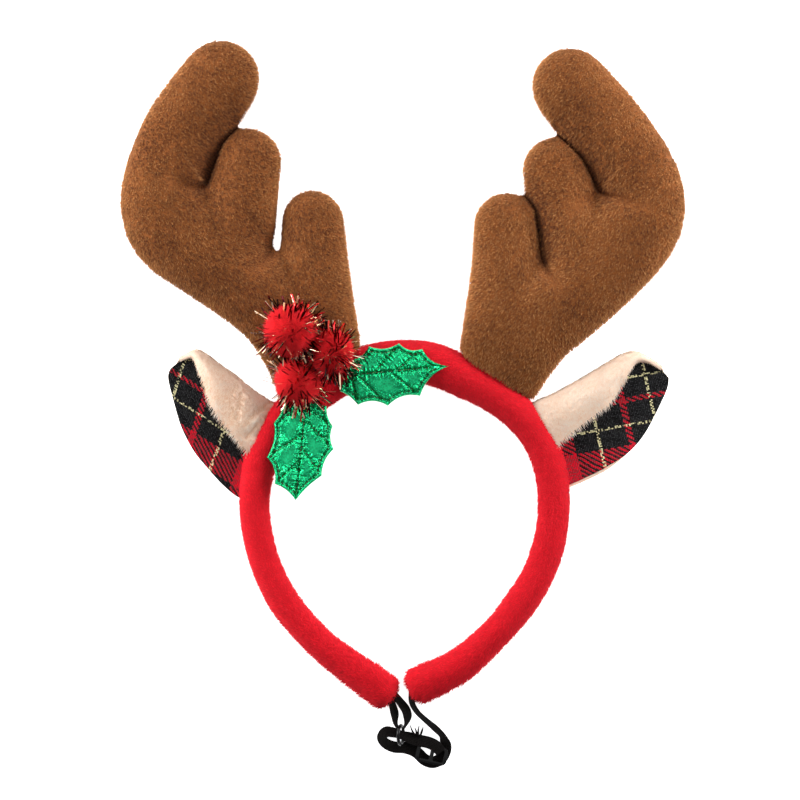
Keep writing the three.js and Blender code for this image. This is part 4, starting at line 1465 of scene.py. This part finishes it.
def add_leaf(node):
    """A padded foil leaf with a stitched rim, midrib and side veins."""
    corners = LEAVES[node]
    edge = leaf_outline(corners)
    spikes = [np.array([corner["x"], corner["y"]]) for corner in corners]
    base = (spikes[0] + spikes[-1]) / 2
    run = spikes[LEAF_TIP] - base
    share = np.clip((edge[:, :2] - base) @ run / (run @ run), *RIB_ENDS)
    rib = np.column_stack([base + share[:, None] * run, np.full(len(edge), edge[:, 2].mean())])
    rings = np.linspace(1, 0, LEAF_RINGS) ** RING_CROWDING
    grid = rib[None] + (edge - rib)[None] * rings[:, None, None]
    flat = grid.reshape(-1, 3)[:, :2]
    gaps = np.linalg.norm(flat[:, None] - edge[None, :, :2], axis=2)
    inside = gaps.min(1)
    round_edge = travelled(edge[:, :2])[gaps.argmin(1)]
    seams = [(base, base + run * RIB_SEAM_END)]
    for spike in spikes[1:LEAF_TIP] + spikes[LEAF_TIP + 1:-1]:
        joint = base + run * np.clip((spike - base) @ run / (run @ run) - VEIN["lean"], VEIN["first"], 1)
        seams.append((joint, joint + (spike - joint) * VEIN["length"]))
    seam = np.full(len(flat), np.linalg.norm(run))
    rim_gap = np.abs(inside - RIM_SEAM)
    crinkle = wrinkles(rim_gap, round_edge, 1)
    for index, (start, end) in enumerate(seams):
        distance, along = seam_place(flat, start, end)
        crinkle += wrinkles(distance, along, index + 2)
        seam = np.minimum(seam, distance + (VEIN["higher"] if index else 0))
    crown = (LEAF_CROWN - LEAF_EDGE) * np.clip(inside / CROWN["reach"], 0, 1) ** CROWN["power"]
    bead = BEAD["height"] * bell(inside - BEAD["place"], BEAD["width"])
    grooves = ((rim_gap, RIM_GROOVE), (seam, VEIN_GROOVE))
    groove = sum(shape["depth"] * bell(gap, shape["width"]) for gap, shape in grooves)
    pucker = np.clip(sum(bell(gap, shape["pucker"]) for gap, shape in grooves), 0, 1)
    line = np.maximum(*(bell(gap, shape["line"]) for gap, shape in grooves))
    spots = np.column_stack([flat, np.zeros(len(flat))])
    crinkle = crinkle * RIDGE_HEIGHT + rough(spots, SWELL["size"], 4) * SWELL["height"]
    front = grid.reshape(-1, 3).copy()
    front[:, 2] += LEAF_EDGE + crown + bead - groove + crinkle * np.clip(inside / RIDGE_EDGE, 0, 1)
    count = len(edge)
    points = np.vstack([edge, front])
    faces = grid_faces(LEAF_RINGS + 1, count, round_columns=True)
    back = np.arange(count)
    faces.append(tuple(back[::-1]))
    leaf = mesh_piece(f"{node}_cover", placed(points), faces, FOIL)
    set_numbers(leaf, "pucker", np.concatenate([np.zeros(count), pucker]))
    # The seam numbers are where shade is painted along the grooves.
    set_numbers(leaf, "seam", np.concatenate([np.zeros(count), line]))
    rim = grid[np.argmin(rim_gap.reshape(LEAF_RINGS, count), 0), np.arange(count), :2]
    routes = [np.vstack([rim, rim[:1]])]
    routes += [start + (end - start) * np.linspace(0, 1, VEIN_STEPS)[:, None] for start, end in seams]
    thread = stitched(f"{node}_stitches", routes, front)
    work = bmesh.new()
    work.from_mesh(leaf.data)
    bmesh.ops.remove_doubles(work, verts=work.verts, dist=2 * MERGE_GAP)
    work.to_mesh(leaf.data)
    work.free()
    outward(leaf)
    finished(leaf, "green_foil", node)
    finished(thread, "green_foil")


for leaf in LEAVES:
    add_leaf(leaf)


# Berries

# Each berry's fibres are painted lighter by a number of its own, as light; most on the bottom berry, which
# lies in shade.
BERRIES = {
    "berry_top": {"x": -54, "y": 33.8, "z": 35.7, "radius": 12.2, "lift": 0.65, "seed": 41},
    "berry_right": {"x": -34.5, "y": 23.5, "z": 30.6, "radius": 10.9, "lift": 0.6, "seed": 42},
    "berry_bottom": {"x": -50.4, "y": 9.3, "z": 26.7, "radius": 11.2, "lift": 1.05, "seed": 43},
}
CORE_ROOM = 0.66  # how far a core lies inside its berry, as a share of the fibres' length
CORE_SWELL = {"size": 4, "share": 0.05}
FIBRE_CLUMPS = {"size": 3, "share": 0.25}
FIBRE_TINTS = {"size": 1.6, "share": 1.3}
STRIP_CLUMPS = {"size": 7, "share": 2, "middle": 0.7, "range": (0.1, 2)}
TINSEL_STRIP = {"density": 4.3e5, "length": 9.2, "width": 0.7, "thickness": 0.08, "stray": 0.65}


def add_berry(node):
    """A pompom: a core, a thick coat of fibres and flat tinsel strips that stand out of it."""
    berry = BERRIES[node]
    work = bmesh.new()
    radius = berry["radius"] - PLUSHES["berry"]["length"] * CORE_ROOM
    bmesh.ops.create_icosphere(work, subdivisions=4, radius=radius * MM)
    mesh = bpy.data.meshes.new(f"{node}_core")
    work.to_mesh(mesh)
    work.free()
    mesh.materials.append(BERRY_CORE_SHADE.material)
    core = add_object(f"{node}_core", mesh)
    points = vertex_points(core) / MM
    swell = 1 + CORE_SWELL["share"] * rough(points, CORE_SWELL["size"], berry["seed"])
    points = points * swell[:, None] + (berry["x"], berry["y"], berry["z"])
    move_vertices(core, placed(points))
    clumps, strips, tints = (
        clump["share"] * rough(points, clump["size"], berry["seed"] + step)
        for step, clump in enumerate((FIBRE_CLUMPS, STRIP_CLUMPS, FIBRE_TINTS), 1)
    )
    set_numbers(core, "nap", np.zeros((len(points), 3)))
    set_numbers(core, "cover", np.ones(len(points)))
    set_numbers(core, "reach", 1 + clumps)
    # Painted light from the table, and tone that varies in clumps.
    set_numbers(core, "lift", berry["lift"] + tints)
    set_numbers(core, "strips", np.clip(STRIP_CLUMPS["middle"] + strips, *STRIP_CLUMPS["range"]))
    fibres = pile_on(f"{node}_fibres", core, "berry", berry["seed"])
    strip = TINSEL_STRIP
    values = {"Density": strip["density"], "Length": strip["length"] * MM, "Width": strip["width"] * MM,
              "Thickness": strip["thickness"] * MM, "Spread": strip["stray"], "Seed": berry["seed"],
              "Finish": TINSEL.material}
    strips = grown(f"{node}_tinsel", core, STRIPS, values)
    finished(core, "berry_red", node)
    finished(fibres, "berry_red")
    finished(strips, "berry_red")


for berry in BERRIES:
    add_berry(berry)
